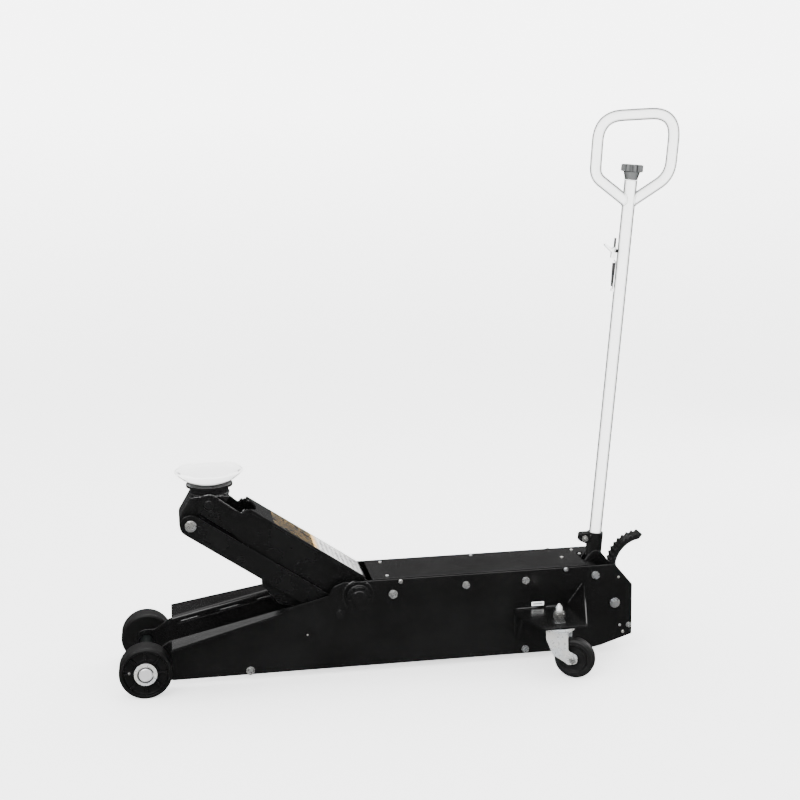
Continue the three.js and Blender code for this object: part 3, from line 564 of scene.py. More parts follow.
def machined(name, level=0.5, rough=0.26, grain=(1.0, 60.0, 1.0), oily=0.2, metal=1.0, painted_shade_within=0.0):
    """Machined steel: tool lines across the grain direction and a thin film of oil. With
    painted_shade_within, whatever lies nearer the middle plane than that is painted near black, as painted
    shade between the side walls."""
    look = Look(name)
    lines = look.noise(40, 3, 0.6, stretch=grain)
    film = look.noise(14, 4)
    tint = look.blend(look.maths("MULTIPLY", film, oily), grey(level, (1.0, 1.0, 1.01)),
                      grey(level * 0.5, (1.0, 0.93, 0.82)))
    # painted shade: the middle of the piece, between the side walls, gets a near-black colour
    if painted_shade_within:
        place = look.node("ShaderNodeSeparateXYZ", {"Vector": look.coords}).outputs["Y"]
        outer = look.maths("GREATER_THAN", look.maths("ABSOLUTE", place), painted_shade_within)
        tint = look.blend(outer, grey(0.014, (0.8, 1.0, 0.95)), tint)
    gloss = look.spread(lines, 0.3, 0.7, rough - 0.07, rough + 0.12)
    return look.set(Base_Color=tint, Metallic=metal, Roughness=gloss, Normal=look.bump(lines, 0.14, 0.0003))


def moulded(name, level, tint=(1.0, 1.0, 1.0), rough=0.55, grain=520, relief=0.2, shine=0.5, edge_shade_depth=0.0):
    """Moulded rubber or plastic: a fine skin, slightly cloudy, with pale scuffs."""
    look = Look(name)
    cloud = look.noise(20, 4, 0.6)
    scuff = look.spread(look.noise(95, 6, 0.75), 0.62, 0.8)
    base = look.blend(cloud, grey(level * 0.82, tint), grey(level * 1.2, tint))
    base = look.blend(look.maths("MULTIPLY", scuff, 0.25), base, grey(min(0.6, level * 3 + 0.03), tint))
    # painted shade: with edge_shade_depth the colour darkens where the surface turns away from view, drawing
    # dark outlines
    if edge_shade_depth:
        edge = look.node("ShaderNodeLayerWeight", {"Blend": 0.5}).outputs["Facing"]
        base = look.blend(look.spread(edge, 0.1, 0.6, 0.0, edge_shade_depth), base, grey(level * 0.06, tint))
        shine = look.spread(edge, 0.1, 0.6, shine, 0.02)
    gloss = look.spread(cloud, 0.3, 0.7, rough - 0.07, rough + 0.1)
    skin = look.bump(look.noise(grain, 3, 0.55), relief, 0.0005)
    return look.set(Base_Color=base, Roughness=gloss, Normal=skin, Specular_IOR_Level=shine)


def arm_label(name, start, along, across):
    """The arm's label: a gilt and black striped band, then a white field with broken dark rules that
    fades to grey. start is the middle of its front edge; along and across are unit directions."""
    look = Look(name)
    offset = look.node("ShaderNodeVectorMath", operation="SUBTRACT")
    look.feed(offset.inputs[0], look.coords)
    offset.inputs[1].default_value = start

    def reach(direction):
        made = look.node("ShaderNodeVectorMath", operation="DOT_PRODUCT")
        look.feed(made.inputs[0], offset.outputs[0])
        made.inputs[1].default_value = direction
        return made.outputs["Value"]

    u, v = reach(along), reach(across)
    stripe_pitch, rule_pitch = 0.0135, 0.015
    gilt_end, rule_half, fade_start, fade_end = 0.118, 0.044, 0.2, 0.262
    slant = look.maths("ADD", u, look.maths("MULTIPLY", v, 0.55))
    along_stripe = look.maths("FRACT", look.maths("MULTIPLY", slant, 1 / stripe_pitch))
    stripe = look.maths("GREATER_THAN", along_stripe, 0.6)
    broken = look.spread(look.noise(150, 3, 0.7), 0.5, 0.54)
    gilt = look.blend(look.noise(60, 3), (0.5, 0.24, 0.03, 1), (0.9, 0.62, 0.2, 1))
    band = look.blend(look.maths("MULTIPLY", stripe, broken), (0.02, 0.018, 0.016, 1), gilt)
    rule = look.maths("GREATER_THAN", look.maths("FRACT", look.maths("MULTIPLY", u, 1 / rule_pitch)), 0.5)
    inside = look.maths("LESS_THAN", look.maths("ABSOLUTE", v), rule_half)
    worn = look.spread(look.noise(110, 3, 0.7), 0.44, 0.5)
    rule = look.maths("MULTIPLY", look.maths("MULTIPLY", rule, inside), worn)
    field = look.blend(look.maths("MULTIPLY", rule, 0.8), (0.74, 0.74, 0.73, 1), (0.07, 0.07, 0.075, 1))
    gold_edge = look.blend(look.spread(u, gilt_end + 0.004, gilt_end + 0.018), (0.85, 0.5, 0.16, 1), field)
    base = look.blend(look.maths("GREATER_THAN", u, gilt_end), band, gold_edge)
    base = look.blend(look.spread(u, fade_start, fade_end, 0.0, 0.7), base, grey(0.25))
    sheen = look.spread(look.noise(30, 3), 0.3, 0.7, 0.24, 0.36)
    metal = look.maths("MULTIPLY", look.maths("LESS_THAN", u, gilt_end), look.maths("MULTIPLY", stripe, 0.7))
    return look.set(Base_Color=base, Roughness=sheen, Metallic=metal, Coat_Weight=0.4, Coat_Roughness=0.15,
                    Normal=look.bump(look.noise(90, 2), 0.05, 0.0003))


def small_label(name, centre):
    """A small white sticker with a dark bar across its middle."""
    look = Look(name)
    place = look.node("ShaderNodeSeparateXYZ", {"Vector": look.coords})
    height = look.maths("ABSOLUTE", look.maths("SUBTRACT", place.outputs["Z"], centre[2]))
    reach = look.maths("ABSOLUTE", look.maths("SUBTRACT", place.outputs["X"], centre[0]))
    half_height, half_length = 0.0022, 0.012
    low_enough = look.maths("LESS_THAN", height, half_height)
    bar_here = look.maths("MULTIPLY", low_enough, look.maths("LESS_THAN", reach, half_length))
    base = look.blend(look.maths("MULTIPLY", bar_here, 0.8), (0.8, 0.81, 0.79, 1), (0.08, 0.09, 0.1, 1))
    return look.set(Base_Color=base, Roughness=look.spread(look.noise(60, 2), 0.3, 0.7, 0.3, 0.42))


FRAME_BLACK = black_enamel("frame_black", 0.0026, 0.2)
ARM_BLACK = black_enamel("arm_black", 0.0022, 0.25)
CAST_BLACK = black_enamel("cast_black", 0.0026, 0.22, 0.6, 0.5)
SEAM_BLACK = black_enamel("seam_black", 0.0035, 0.1, 0.6, 1.0)
HANDLE_WHITE = powder_white("handle_white", 0.86)
# the last two numbers set where the saddle's painted edge shade starts and ends
SADDLE_WHITE = powder_white("saddle_white", 0.92, 0.55, 0.77, 0.93)
ZINC = zinc_plate("bright_zinc", 0.42, 0.26)
FORK_ZINC = zinc_plate("fork_zinc", 0.66, 0.3, 0.01, 0.7, 0.05)
PIN_STEEL = machined("pin_steel", grain=(60.0, 1.0, 60.0))
RAM_CHROME = machined("ram_chrome", 0.78, 0.1, (60.0, 1.0, 1.0), 0.06)
SPRING_STEEL = machined("spring_steel", 0.42, 0.3, (1.0, 1.0, 40.0), 0.35)
WHEEL_BLACK = moulded("wheel_black", 0.0022, (1.0, 0.98, 0.96), 0.45, 260, 0.3, 0.22)
CASTER_BLACK = moulded("caster_black", 0.0035, rough=0.48, shine=0.3)
# the last number is the strength of the knob's painted edge shade
KNOB_GREY = moulded("knob_grey", 0.07, (0.96, 1.0, 1.0), 0.45, 420, 0.12, 0.35, 0.97)
# the last number paints shade on the axle's middle, between the side walls
AXLE_STEEL = machined("axle_steel", 0.72, 0.34, (60.0, 1.0, 60.0), 0.15, 0.7, 0.14)
NUT_STEEL = zinc_plate("nut_steel", 0.2, 0.2)
DARK_STEEL = machined("dark_steel", 0.16, 0.34, (60.0, 60.0, 1.0), 0.4)


# ------------------------------------------------------------------ chassis


def slope_height(x):
    return SLOPE_Z + SLOPE * (x - SLOPE_X)


TIE_BOLTS = {
    "front_tie_bolt": (252.0, 27.0, 10.0),
    "tie_bolt_front": (610.5, 198.0, 10.6),
    "tie_bolt_middle": (795.0, 209.0, 9.0),
    "tie_bolt_rear": (948.5, 210.0, 9.0),
    "lower_tie_bolt": (947.0, 29.0, 9.0),
}
FLANGE_PLAN = [(SLOPE_X, 168.0), (322.0, 130.0), (334.0, 116.0), (345.0, 100.0), (400.0, 97.0), (449.0, 93.0)]
BEND_R = 10.0
BEND_DROP = 12.0


def side_wall():
    """The flat wall, cut away along its sloping edge where the bent flange takes over."""
    corners = [
        (-30, 33.5, 29), (24, 33.5), (62, 17, 30), (1108, 17), (1145, 23), (REAR_X, 48.5, 4),
        (REAR_X, 181, 4), (1182, 236, 3), (486, 236, 12), (462, 227, 14),
        (450, slope_height(449) - 1, 3), (449, slope_height(449) - BEND_DROP),
        (SLOPE_X + 1, slope_height(SLOPE_X) - BEND_DROP), (SLOPE_X, slope_height(SLOPE_X) - 2, 1),
        (SLOPE_X - 5, slope_height(SLOPE_X) - 3, 4), (22, 93.5, 20), (-30, 93.5, 29),
    ]
    holes = [ring((0, WHEEL_R), AXLE_R + 0.4), ring(PIVOT, 19.4), ring(LINK_PIVOT, 8.4),
             ring(HANDLE_PIVOT, 8.4), ring(PEDAL_PIVOT, 8.4)]
    holes += [ring((x, z), 6.4, 24) for x, z, _ in TIE_BOLTS.values()]
    return slab_xz([fillet(corners), *holes], WALL_IN, WALL_OUT, 1.6)


def flange_reach(x):
    for (xa, ya), (xb, yb) in zip(FLANGE_PLAN, FLANGE_PLAN[1:]):
        if x <= xb:
            return ya + (yb - ya) * (x - xa) / (xb - xa)
    return FLANGE_PLAN[-1][1]


def bent_flange():
    """The sheet along the sloping edge, bent outwards over a round corner."""
    skin = 0.03
    sections = []
    stops = [SLOPE_X + k * (SLOPE_X - 322.0) / -22 for k in range(23)]
    stops += [326, 330, 334, 338, 342, 345, 352, 362, 375, 390, 405, 420, 435, 449.5]
    for x in stops:
        edge = flange_reach(x)
        top = slope_height(x) - FLANGE_RISE * 0.5
        rise = lambda y: FLANGE_RISE * (y - WALL_OUT)
        inner, outer = WALL_IN - skin, WALL_OUT + skin
        bend = min(BEND_R, edge - inner - 2)
        points = [(inner, top - BEND_DROP - 1)]
        for k in range(9):
            angle = math.pi - math.pi / 2 * k / 8
            y = inner + bend + bend * math.cos(angle)
            points.append((y, top - bend + bend * math.sin(angle) + rise(max(y, WALL_OUT)) * 0.5))
        lip = 1.0
        for k in range(4):
            angle = math.pi / 2 - math.pi / 2 * k / 3
            y = edge - lip + lip * math.cos(angle)
            points.append((y, top - lip + lip * math.sin(angle) + rise(y)))
        for k in range(4):
            angle = -math.pi / 2 * k / 3
            y = edge - lip + lip * math.cos(angle)
            points.append((y, top - SHEET + lip + lip * math.sin(angle) + rise(y)))
        root = max(min(5.0, edge - outer - 1.5), 0.4)
        for k in range(6):
            angle = math.pi / 2 + math.pi / 2 * k / 5
            y = outer + root + root * math.cos(angle)
            points.append((y, top - SHEET - root + root * math.sin(angle) + rise(y)))
        points.append((outer, top - BEND_DROP - 1))
        sections.append([(x, y, z) for y, z in points])
    return loft(sections)


def chassis():
    pair("side_wall", side_wall(), "chassis", FRAME_BLACK, "side_frame_{side}", slot="black_paint")
    pair("side_flange", bent_flange(), "chassis", FRAME_BLACK, slot="black_paint")
    pad = turned([(19.4, 0), (36, 0, 0.5), (36, 3, 1.0), (19.4, 3, 0.5)], along_y(*PIVOT, WALL_OUT - 0.2))
    pair("pivot_pad", pad, "chassis", FRAME_BLACK, slot="black_paint")
    around = [(PIVOT[0] + 37.5 * math.cos(a / 10), WALL_OUT + 0.6, PIVOT[1] + 37.5 * math.sin(a / 10))
              for a in range(18, 74)]
    pair("pivot_pad_weld", weld(around, 2.6), "chassis", SEAM_BLACK, slot="black_paint")

    stitches = []
    for x0, x1 in ((86, 135), (186, 237), (281, 322), (370, 408)):
        run = [(x0, WALL_IN - 0.8, slope_height(x0) - 17), (x1, WALL_IN - 0.8, slope_height(x1) - 17)]
        stitches.append(weld(run, 3.0))
    pair("stitch_welds", joined(*stitches), "chassis", SEAM_BLACK, slot="black_paint")

    doubler = slab_xz([fillet([
        (78, slope_height(78) - 20, 3), (78, 74, 8), (240, 74, 20), (428, slope_height(428) - 52, 20),
        (428, slope_height(428) - 20, 3),
    ])], 76.6, WALL_IN - 0.2, 0.7)
    pair("wall_doubler", doubler, "chassis", FRAME_BLACK, slot="black_paint")

    edge, thick = 79.4, 3
    front, notch, rear = 560, 1112, 1168
    top = fillet([
        (front, -edge, 2), (notch, -edge, 2), (notch, 34, 3),
        (rear, 34, 2), (rear, edge, 2), (front, edge, 2),
    ])
    deck = slab([top], DECK_TOP - thick, DECK_TOP, 0.7)

    def deck_lip(end, y):
        outline = fillet([(front + 2, 222.5, 3), (end, 222.5, 3), (end, 236), (front + 2, 236)])
        return slab_xz([outline], y, y + thick, 0.5)

    lip = deck_lip(1095, -edge)
    far = deck_lip(rear - 2, edge - thick)
    piece("deck_plate", joined(deck, lip, far), "chassis", FRAME_BLACK, "deck_cover", slot="black_paint")

    sheet = [
        (1150, 29), (1219.5, 50.2), (1220.7, 51.4), (1221.6, 53.0), (1222, 55), (1222, 178),
        (1219, 178), (1219, 55.6), (1218.7, 54.4), (1218, 53.7), (1150, 32.6),
    ]
    plate = slab_xz([[Vector(p) for p in sheet]], -edge, edge, 0.4)
    piece("rear_plate", plate, "chassis", FRAME_BLACK, "rear_cover", slot="black_paint")

    seam = joined(*[weld([(x, -77.5, z), (x, -77.5, z + 34)], 2.4) for x, z in ((1217, 66), (1217, 132))])
    pair("rear_seam", copy_of(seam, MIRROR), "chassis", SEAM_BLACK, slot="black_paint")

    ends = [
        (0, -159), (13.2, -159), (14.6, -158.4), (AXLE_R, -157),
        (AXLE_R, 157), (14.6, 158.4), (13.2, 159), (0, 159),
    ]
    piece("axle_bar", turned(ends, along_y(0, WHEEL_R)), "chassis", AXLE_STEEL, "front_axle",
          slot="bare_steel")
    collar = turned([(16.2, 87), (24, 87, 1.5), (24, 94.6, 1.5), (16.2, 94.6)], along_y(0, WHEEL_R), 60)
    pair("axle_collar", collar, "chassis", CAST_BLACK, slot="black_paint")


def hex_bolt(x, z, r, face, height=7.0):
    """A hexagon head on a washer, on the outside of the right wall."""
    thickness = 1.5
    washer = turned([(5, 0), (r * 1.08, 0, 0.3), (r * 1.08, thickness, 0.5), (5, thickness)],
                    along_y(x, z, face), 48)
    seat = thickness - 0.1
    return joined(washer, hexagon(r, 0, height - seat, along_y(x, z, face + seat)))


def tie_bolts():
    """Bolts right across the chassis: a head and washer on the left, a nut and thread end on the right."""
    face = WALL_OUT + 0.05
    for name, (x, z, r) in TIE_BOLTS.items():
        head = copy_of(hex_bolt(x, z, r, face, 6.6), MIRROR)
        piece(f"{name}_head", head, "chassis", ZINC, name, slot="zinc_plate")
        washer = turned([(5, 0), (r * 1.08, 0, 0.3), (r * 1.08, 1.4, 0.5), (5, 1.4)], along_y(x, z, face), 48)
        nut = hexagon(r, 0, 5.0, along_y(x, z, face + 1.35), bore=5.2, both=True)
        end = threaded(5.6, 0, 7.2, along_y(x, z, face + 0.1))
        piece(f"{name}_nut", joined(washer, nut, end), "chassis", ZINC, slot="zinc_plate")
        piece(f"{name}_shank", bar(5.6, -85, 85, along_y(x, z)), "chassis", ZINC, slot="zinc_plate")


def threaded(radius, low, high, matrix, pitch=1.5):
    """The end of a screw: rings of a shallow thread and a chamfered tip."""
    profile = [(0, low), (radius - 0.7, low)]
    height = low + 0.3
    while height < high - pitch:
        profile += [(radius - 0.75, height), (radius, height + pitch / 2)]
        height += pitch
    profile += [(radius - 0.9, high - 0.2), (radius - 1.4, high), (0, high)]
    return turned(profile, matrix, 32)


def pivots():
    shaft = turned([(0, -111), (17, -111), (19, -109, 0.5), (19, 109, 0.5), (17, 111), (0, 111)],
                   along_y(*PIVOT))
    piece("pivot_shaft", shaft, "chassis", CAST_BLACK, "arm_pivot_shaft", slot="black_paint")

    inner = WALL_OUT + 3.1
    collar = turned([(19.4, 0), (30.5, 0, 0.8), (30.5, 10, 1.5), (27, 11.5, 1), (19.4, 11.5)],
                    along_y(*PIVOT, inner))
    notched = []
    for k in range(6):
        middle = k * math.pi / 3
        gap = math.asin(3.6 / 27.5)
        for deep, at in ((21.5, middle - gap * 1.1), (21.5, middle + gap * 1.1)):
            notched.append((deep, at))
        for step in range(9):
            notched.append((27.5, middle + gap + (math.pi / 3 - 2 * gap) * step / 8))
    outline = [Vector((PIVOT[0] + r * math.cos(a), PIVOT[1] + r * math.sin(a))) for r, a in notched]
    castle = slab_xz([outline, ring(PIVOT, 19.4, 60)], inner + 10.8, inner + 18.6, 0.6)
    pair("pivot_nut", joined(collar, castle), "chassis", CAST_BLACK, "arm_pivot_nut_{side}", slot="cast_iron")

    head = hex_bolt(*LINK_PIVOT, 13.0, WALL_OUT + 0.1, 6.6)
    inside = joined(bar(12.0, 61, 64.4, along_y(*LINK_PIVOT), 1.0), bar(8.0, 61, 92, along_y(*LINK_PIVOT)))
    pair("link_bolt", joined(head, inside), "chassis", CAST_BLACK, "link_pivot_bolt_{side}", slot="cast_iron")

    shank = bar(8.0, 46.5, WALL_OUT + 4, along_y(*HANDLE_PIVOT))
    stud = joined(hex_bolt(*HANDLE_PIVOT, 9.4, WALL_OUT + 0.1, 9.6), shank)
    pair("handle_stud", stud, "chassis", ZINC, "handle_pivot_bolt_{side}", slot="zinc_plate")

    washer = turned([(6, 0), (13.2, 0, 0.4), (13.2, 2.2, 0.7), (6, 2.2)],
                    along_y(*PEDAL_PIVOT, WALL_OUT + 0.1), 60)
    lock = turned([(6, 0), (10.6, 0, 0.3), (10.6, 1.8, 0.5), (6, 1.8)],
                  along_y(*PEDAL_PIVOT, WALL_OUT + 2.3), 60)
    head = hexagon(9.4, 0, 6.6, along_y(*PEDAL_PIVOT, WALL_OUT + 4.0))
    rod = bar(8.0, -88, 88, along_y(*PEDAL_PIVOT))
    right = joined(washer, lock, head)
    left = copy_of(right, MIRROR)
    piece("pedal_shaft", joined(right, left, rod), "chassis", ZINC, "pedal_pivot_bolt", slot="zinc_plate")


def small_fasteners():
    """Screws of the walls and covers that are too small to be parts of their own."""
    face = WALL_OUT + 0.02
    pan = []
    for x, z, r in ((629.5, 230.0, 5.6), (1052.4, 231.5, 5.6), (1195.5, 74.0, 3.6), (1203.7, 56.0, 4.2),
                    (1191.0, 202.0, 3.4), (395.0, 108.7, 2.4)):
        dome = [(0, 0), (r, 0), (r, r * 0.35), (r * 0.82, r * 0.62), (r * 0.45, r * 0.8), (0, r * 0.84)]
        pan.append(turned(dome, along_y(x, z, face), 32))
    pair("wall_screws", joined(*pan), "chassis", ZINC)
    big = hex_bolt(1219.0, 73.4, 6.6, face, 5.5)
    piece("rear_screw", copy_of(big, MIRROR), "chassis", ZINC)
    big.free()
    heads = []
    places = ((1107.7, 55.5), (1065.4, -2.0), (1118.0, 16.7), (600.0, -58.0), (600.0, 58.0), (840.0, 66.0))
    for x, y in places:
        place = Matrix.Translation((x, y, DECK_TOP + 0.02))
        heads.append(turned([(0, 0), (4.6, 0), (4.6, 1.0), (3.6, 2.4), (1.8, 3.1), (0, 3.2)], place, 32))
    piece("deck_screws", joined(*heads), "chassis", ZINC)


# ------------------------------------------------------------------ front wheels


def front_wheels():
    half = WHEEL_HALF
    hub = along_y(0, WHEEL_R, WHEEL_MID_Y)
    body = turned([
        (16.4, -half), (52, -half, 1), (58, -half, 2), (62.4, -half + 2.5, 2.5), (WHEEL_R, -half + 7, 2),
        (WHEEL_R, half - 7, 2), (62.4, half - 2.5, 2.5), (58, half, 2), (54.5, half, 1.2),
        (52, half - 9, 2.5), (31.5, half - 10, 2.5), (29.6, half, 1.2), (16.4, half),
    ], hub, 128)
    ribs = []
    for k in range(8):
        turn = hub @ Matrix.Rotation(k * math.pi / 4, 4, "Z")
        section = [(29, half - 11), (29, half - 3.4, 1.5), (34, half - 4.4, 4), (49, half - 4.4, 4),
                   (54, half - 2.4, 1.5), (54, half - 11)]
        ribs.append(slab([fillet(section)], -2.4, 2.4, 0.9, turn @ FACES_Y))
    seam = turned([(WHEEL_R - 0.5, -0.5), (WHEEL_R - 0.02, -0.25, 0.1), (WHEEL_R - 0.02, 0.25, 0.1),
                   (WHEEL_R - 0.5, 0.5)], hub, 128)
    pair("wheel", joined(body, seam, *ribs), "front_wheel_{side}", WHEEL_BLACK, "front_wheel_{side}",
         slot="cast_iron")

    nipple = turned([(0, 0), (3.4, 0), (3.4, 3.5), (2.2, 4.2), (1.7, 6.0), (2.2, 7.2), (1.5, 8.4), (0, 8.6)],
                    along_y(-38.5, WHEEL_R + 2, WHEEL_MID_Y + half - 9.6), 24)
    pair("grease_nipple", nipple, "front_wheel_{side}", ZINC)

    face = WHEEL_MID_Y + half + 0.4
    washer = turned([(16.4, 0), (27.5, 0, 0.5), (27.5, 3, 0.8), (16.4, 3, 0.3)], along_y(0, WHEEL_R, face))
    pair("hub_washer", washer, "chassis", FORK_ZINC, "wheel_washer_{side}", slot="zinc_plate")
    mouth = 0.26
    outside = [(19.6, mouth + (2 * math.pi - 2 * mouth) * k / 72) for k in range(73)]
    inside = [(16.5, 2 * math.pi - mouth * 1.2 - (2 * math.pi - 2.4 * mouth) * k / 72) for k in range(73)]
    clip = [Vector((r * math.cos(a), WHEEL_R + r * math.sin(a))) for r, a in outside + inside]
    snap = slab_xz([clip], face + 3.4, face + 5.2, 0.35)
    pair("snap_ring", snap, "chassis", PIN_STEEL, "circlip_{side}", slot="zinc_plate")


# ------------------------------------------------------------------ lift arm and links


def on_arm(u, v):
    """A point of the arm: u runs from its pivot towards the head, v square to it and upwards."""
    c, s = math.cos(ARM_ANGLE), math.sin(ARM_ANGLE)
    return (PIVOT[0] - u * c + v * s, PIVOT[1] + u * s + v * c)


HEAD_PIVOT = on_arm(ARM_LENGTH, 0)
LINK_FRONT = (
    LINK_PIVOT[0] - ARM_LENGTH * math.cos(ARM_ANGLE),
    LINK_PIVOT[1] + ARM_LENGTH * math.sin(ARM_ANGLE),
)
RAM_PIN = (PIVOT[0] - LUG_LENGTH * math.sin(LUG_ANGLE), PIVOT[1] - LUG_LENGTH * math.cos(LUG_ANGLE))
ARM_FRAME = Matrix.Translation((PIVOT[0], 0, PIVOT[1])) @ Matrix.Rotation(ARM_ANGLE, 4, "Y")
LABEL_FRONT = -272.0
LABEL_REAR = -10.0
LABEL_HALF = 56.0


def arm_edge(points, y):
    return [(on_arm(u, v)[0], y, on_arm(u, v)[1]) for u, v in points]


def arm_walls():
    uv = [
        (458, 28, 27.5), (458, -28, 27.5), (330, -32, 30), (228, -82, 20), (214, -102, 12),
        (150, -124, 18), (62, -84, 30), (-30, -50, 40), (-50, 10, 40), (-14, ARM_TOP - ARM_PLATE + 0.5),
        (346, ARM_TOP - ARM_PLATE + 0.5), (352, 23, 6),
    ]
    corners = [(*on_arm(u, v), r[0] if r else 0) for u, v, *r in uv]
    holes = [ring(PIVOT, 19.4, 60), ring(HEAD_PIVOT, 12.9)]
    return slab_xz([fillet(corners, 0.12), *holes], ARM_IN, ARM_OUT, 1.1)


def arm_top():
    """The upper plate. Its front edge is a hollow between two horns, so that the saddle drops past."""
    centre, radius, half = -410.8, 92.0, 63.5
    low, high = -342.6, -3.4
    points = [Vector((high, -half)), Vector((high, half)), Vector((low, half))]
    span = min(math.acos((low - centre) / radius), math.asin(half / radius))
    for k in range(33):
        angle = span - 2 * span * k / 32
        points.append(Vector((centre + radius * math.cos(angle), radius * math.sin(angle))))
    points.append(Vector((low, -half)))
    return slab([points], ARM_TOP - ARM_PLATE, ARM_TOP, 0.9, ARM_FRAME)


def lift_arm():
    walls = arm_walls()
    far = copy_of(walls, MIRROR)
    piece("arm_walls", joined(walls, far), "arm", ARM_BLACK, "lift_arm", slot="black_paint")
    piece("arm_top_plate", arm_top(), "arm", ARM_BLACK, slot="black_paint")
    cross = slab([fillet([(-52.2, -70), (52.2, -70), (52.2, 38.6), (-52.2, 38.6)])], 199, 206, 0.5,
                 ARM_FRAME @ Matrix(((0, 0, -1, 0), (1, 0, 0, 0), (0, 1, 0, 0), (0, 0, 0, 1))))
    end = ARM_OUT - 0.3
    barrel = turned([(19.4, -end), (29, -end, 1), (29, end, 1), (19.4, end)], along_y(*PIVOT))
    lug_outline = strap_outline(PIVOT, RAM_PIN, 34, 20, 24)
    lug = slab_xz([lug_outline, ring(PIVOT, 27), ring(RAM_PIN, 11.4)], -13, 13, 1.6)
    piece("arm_inner_parts", joined(cross, barrel, lug), "arm", ARM_BLACK, slot="black_paint")

    beads = []
    under_plate = ARM_TOP - ARM_PLATE
    for y in (-ARM_OUT - 0.6, ARM_OUT + 0.6):
        for a, b in ((335, 300), (268, 218), (190, 140), (112, 62), (38, 6)):
            beads.append(weld(arm_edge([(a, under_plate - 0.8), (b, under_plate - 0.8)], y), 2.7))
        boss = [on_arm(ARM_LENGTH + 25.5 * math.cos(a / 10), 25.5 * math.sin(a / 10)) for a in range(3, 20)]
        beads.append(weld([(x, y, z) for x, z in boss], 3.3))
        beads.append(weld(arm_edge([(418, 24.2), (366, 21.4)], y), 3.0))
    for y in (-ARM_IN + 1.2, ARM_IN - 1.2):
        beads.append(weld(arm_edge([(207.5, 34), (207.5, -66)], y), 3.0))
        beads.append(weld(arm_edge([(338, under_plate - 0.5), (300, under_plate - 0.5)], y), 3.0))
    front = [(350.5, 36), (351.5, 25), (356, 20.5)]
    beads.append(weld(arm_edge(front, -(ARM_IN + ARM_OUT) / 2), 3.4))
    beads.append(weld(arm_edge(front, (ARM_IN + ARM_OUT) / 2), 3.4))
    for y in (-13.6, 13.6):
        hoop = [(PIVOT[0] + 30 * math.cos(a / 8), y, PIVOT[1] + 30 * math.sin(a / 8)) for a in range(50)]
        beads.append(weld(hoop, 3.0))
    piece("arm_welds", joined(*beads), "arm", SEAM_BLACK, slot="black_paint")

    label = slab([fillet([(LABEL_FRONT, -LABEL_HALF, 4), (LABEL_REAR, -LABEL_HALF, 4),
                          (LABEL_REAR, LABEL_HALF, 4), (LABEL_FRONT, LABEL_HALF, 4)])],
                 ARM_TOP + 0.04, ARM_TOP + 0.34, 0.1, ARM_FRAME)
    front_edge = TO_ROW @ ARM_FRAME @ Vector((LABEL_FRONT, 0, ARM_TOP))
    turn = ARM_FRAME.to_3x3()
    along = turn @ Vector((1, 0, 0))
    piece("arm_label", label, "arm", arm_label("arm_label_print", front_edge, along, (0, 1, 0)), sharp=60)

    piece("ram_cross_pin", bar(11.0, -31.8, 31.8, along_y(*RAM_PIN), 1.5), "arm", PIN_STEEL, "ram_pin",
          slot="bare_steel")
    head_pin = bar(12.5, -60.8, 60.8, along_y(*HEAD_PIVOT), 1.5, 60)
    piece("head_cross_pin", head_pin, "head", CAST_BLACK, "head_pivot_pin", slot="black_paint")


def links():
    outline = strap_outline(LINK_PIVOT, LINK_FRONT, 25.9, 26.0, 28)
    holes = [ring(LINK_PIVOT, 8.4), ring(LINK_FRONT, 12.4)]
    pair("link_bar", slab_xz([outline, *holes], 65, 73, 1.4), "links", ARM_BLACK, "radius_link_{side}",
         slot="black_paint")
    pin = bar(12.0, -73.6, 73.6, along_y(*LINK_FRONT), 1.0, 60)
    cap = turned([(0, 0), (14.2, 0, 0.3), (14.2, 3.2, 1.4), (10, 5, 2.5), (0, 5)],
                 along_y(*LINK_FRONT, 73.3), 60)
    other = copy_of(cap, MIRROR)
    piece("link_pin", joined(pin, cap, other), "links", ZINC, "link_front_pin", slot="zinc_plate")


# ------------------------------------------------------------------ head and saddle


def saddle_head():
    """The forged head: a round neck on a block that reaches down to the links' front pin."""
    bx, bz = LINK_FRONT
    side = [
        (216, 452, 8), (216, 463, 3), (125, 463, 3), (119, 452, 30), (bx - 27, bz + 14, 14),
        (bx - 27, bz - 27, 26), (bx + 25, bz - 27, 24), (188, 420, 16),
    ]
    holes = [ring(HEAD_PIVOT, 12.9), ring(LINK_FRONT, 12.4)]
    block = slab_xz([fillet(side, 0.12), *holes], -46, 46, 3.2)
    neck = turned([
        (15.4, 452), (46.5, 452), (46.5, 466, 2), (46.0, 480, 1.5), (56.2, 480.4, 0.5), (56.9, 481, 0.5),
        (56.9, 486.9, 0.8), (15.4, 486.9),
    ], Matrix.Translation((SADDLE_X, 0, 0)))
    piece("head_forging", joined(block, neck), "head", CAST_BLACK, "saddle_head", slot="black_paint",
          sharp=38)
    around = [(SADDLE_X - 1 + 46.8 * math.cos(a / 12), 46.4 * math.sin(a / 12), 464.0) for a in range(76)]
    side_bead = [(216.5, y, 459) for y in (-44, 44)]
    beads = [weld(around, 3.4, (0, 0, 1)), weld(side_bead, 3.0)]
    for y in (-45.6, 45.6):
        beads.append(weld([(206, y, 462.5), (132, y, 462.5)], 3.6))
    piece("head_welds", joined(*beads), "head", SEAM_BLACK, slot="black_paint")


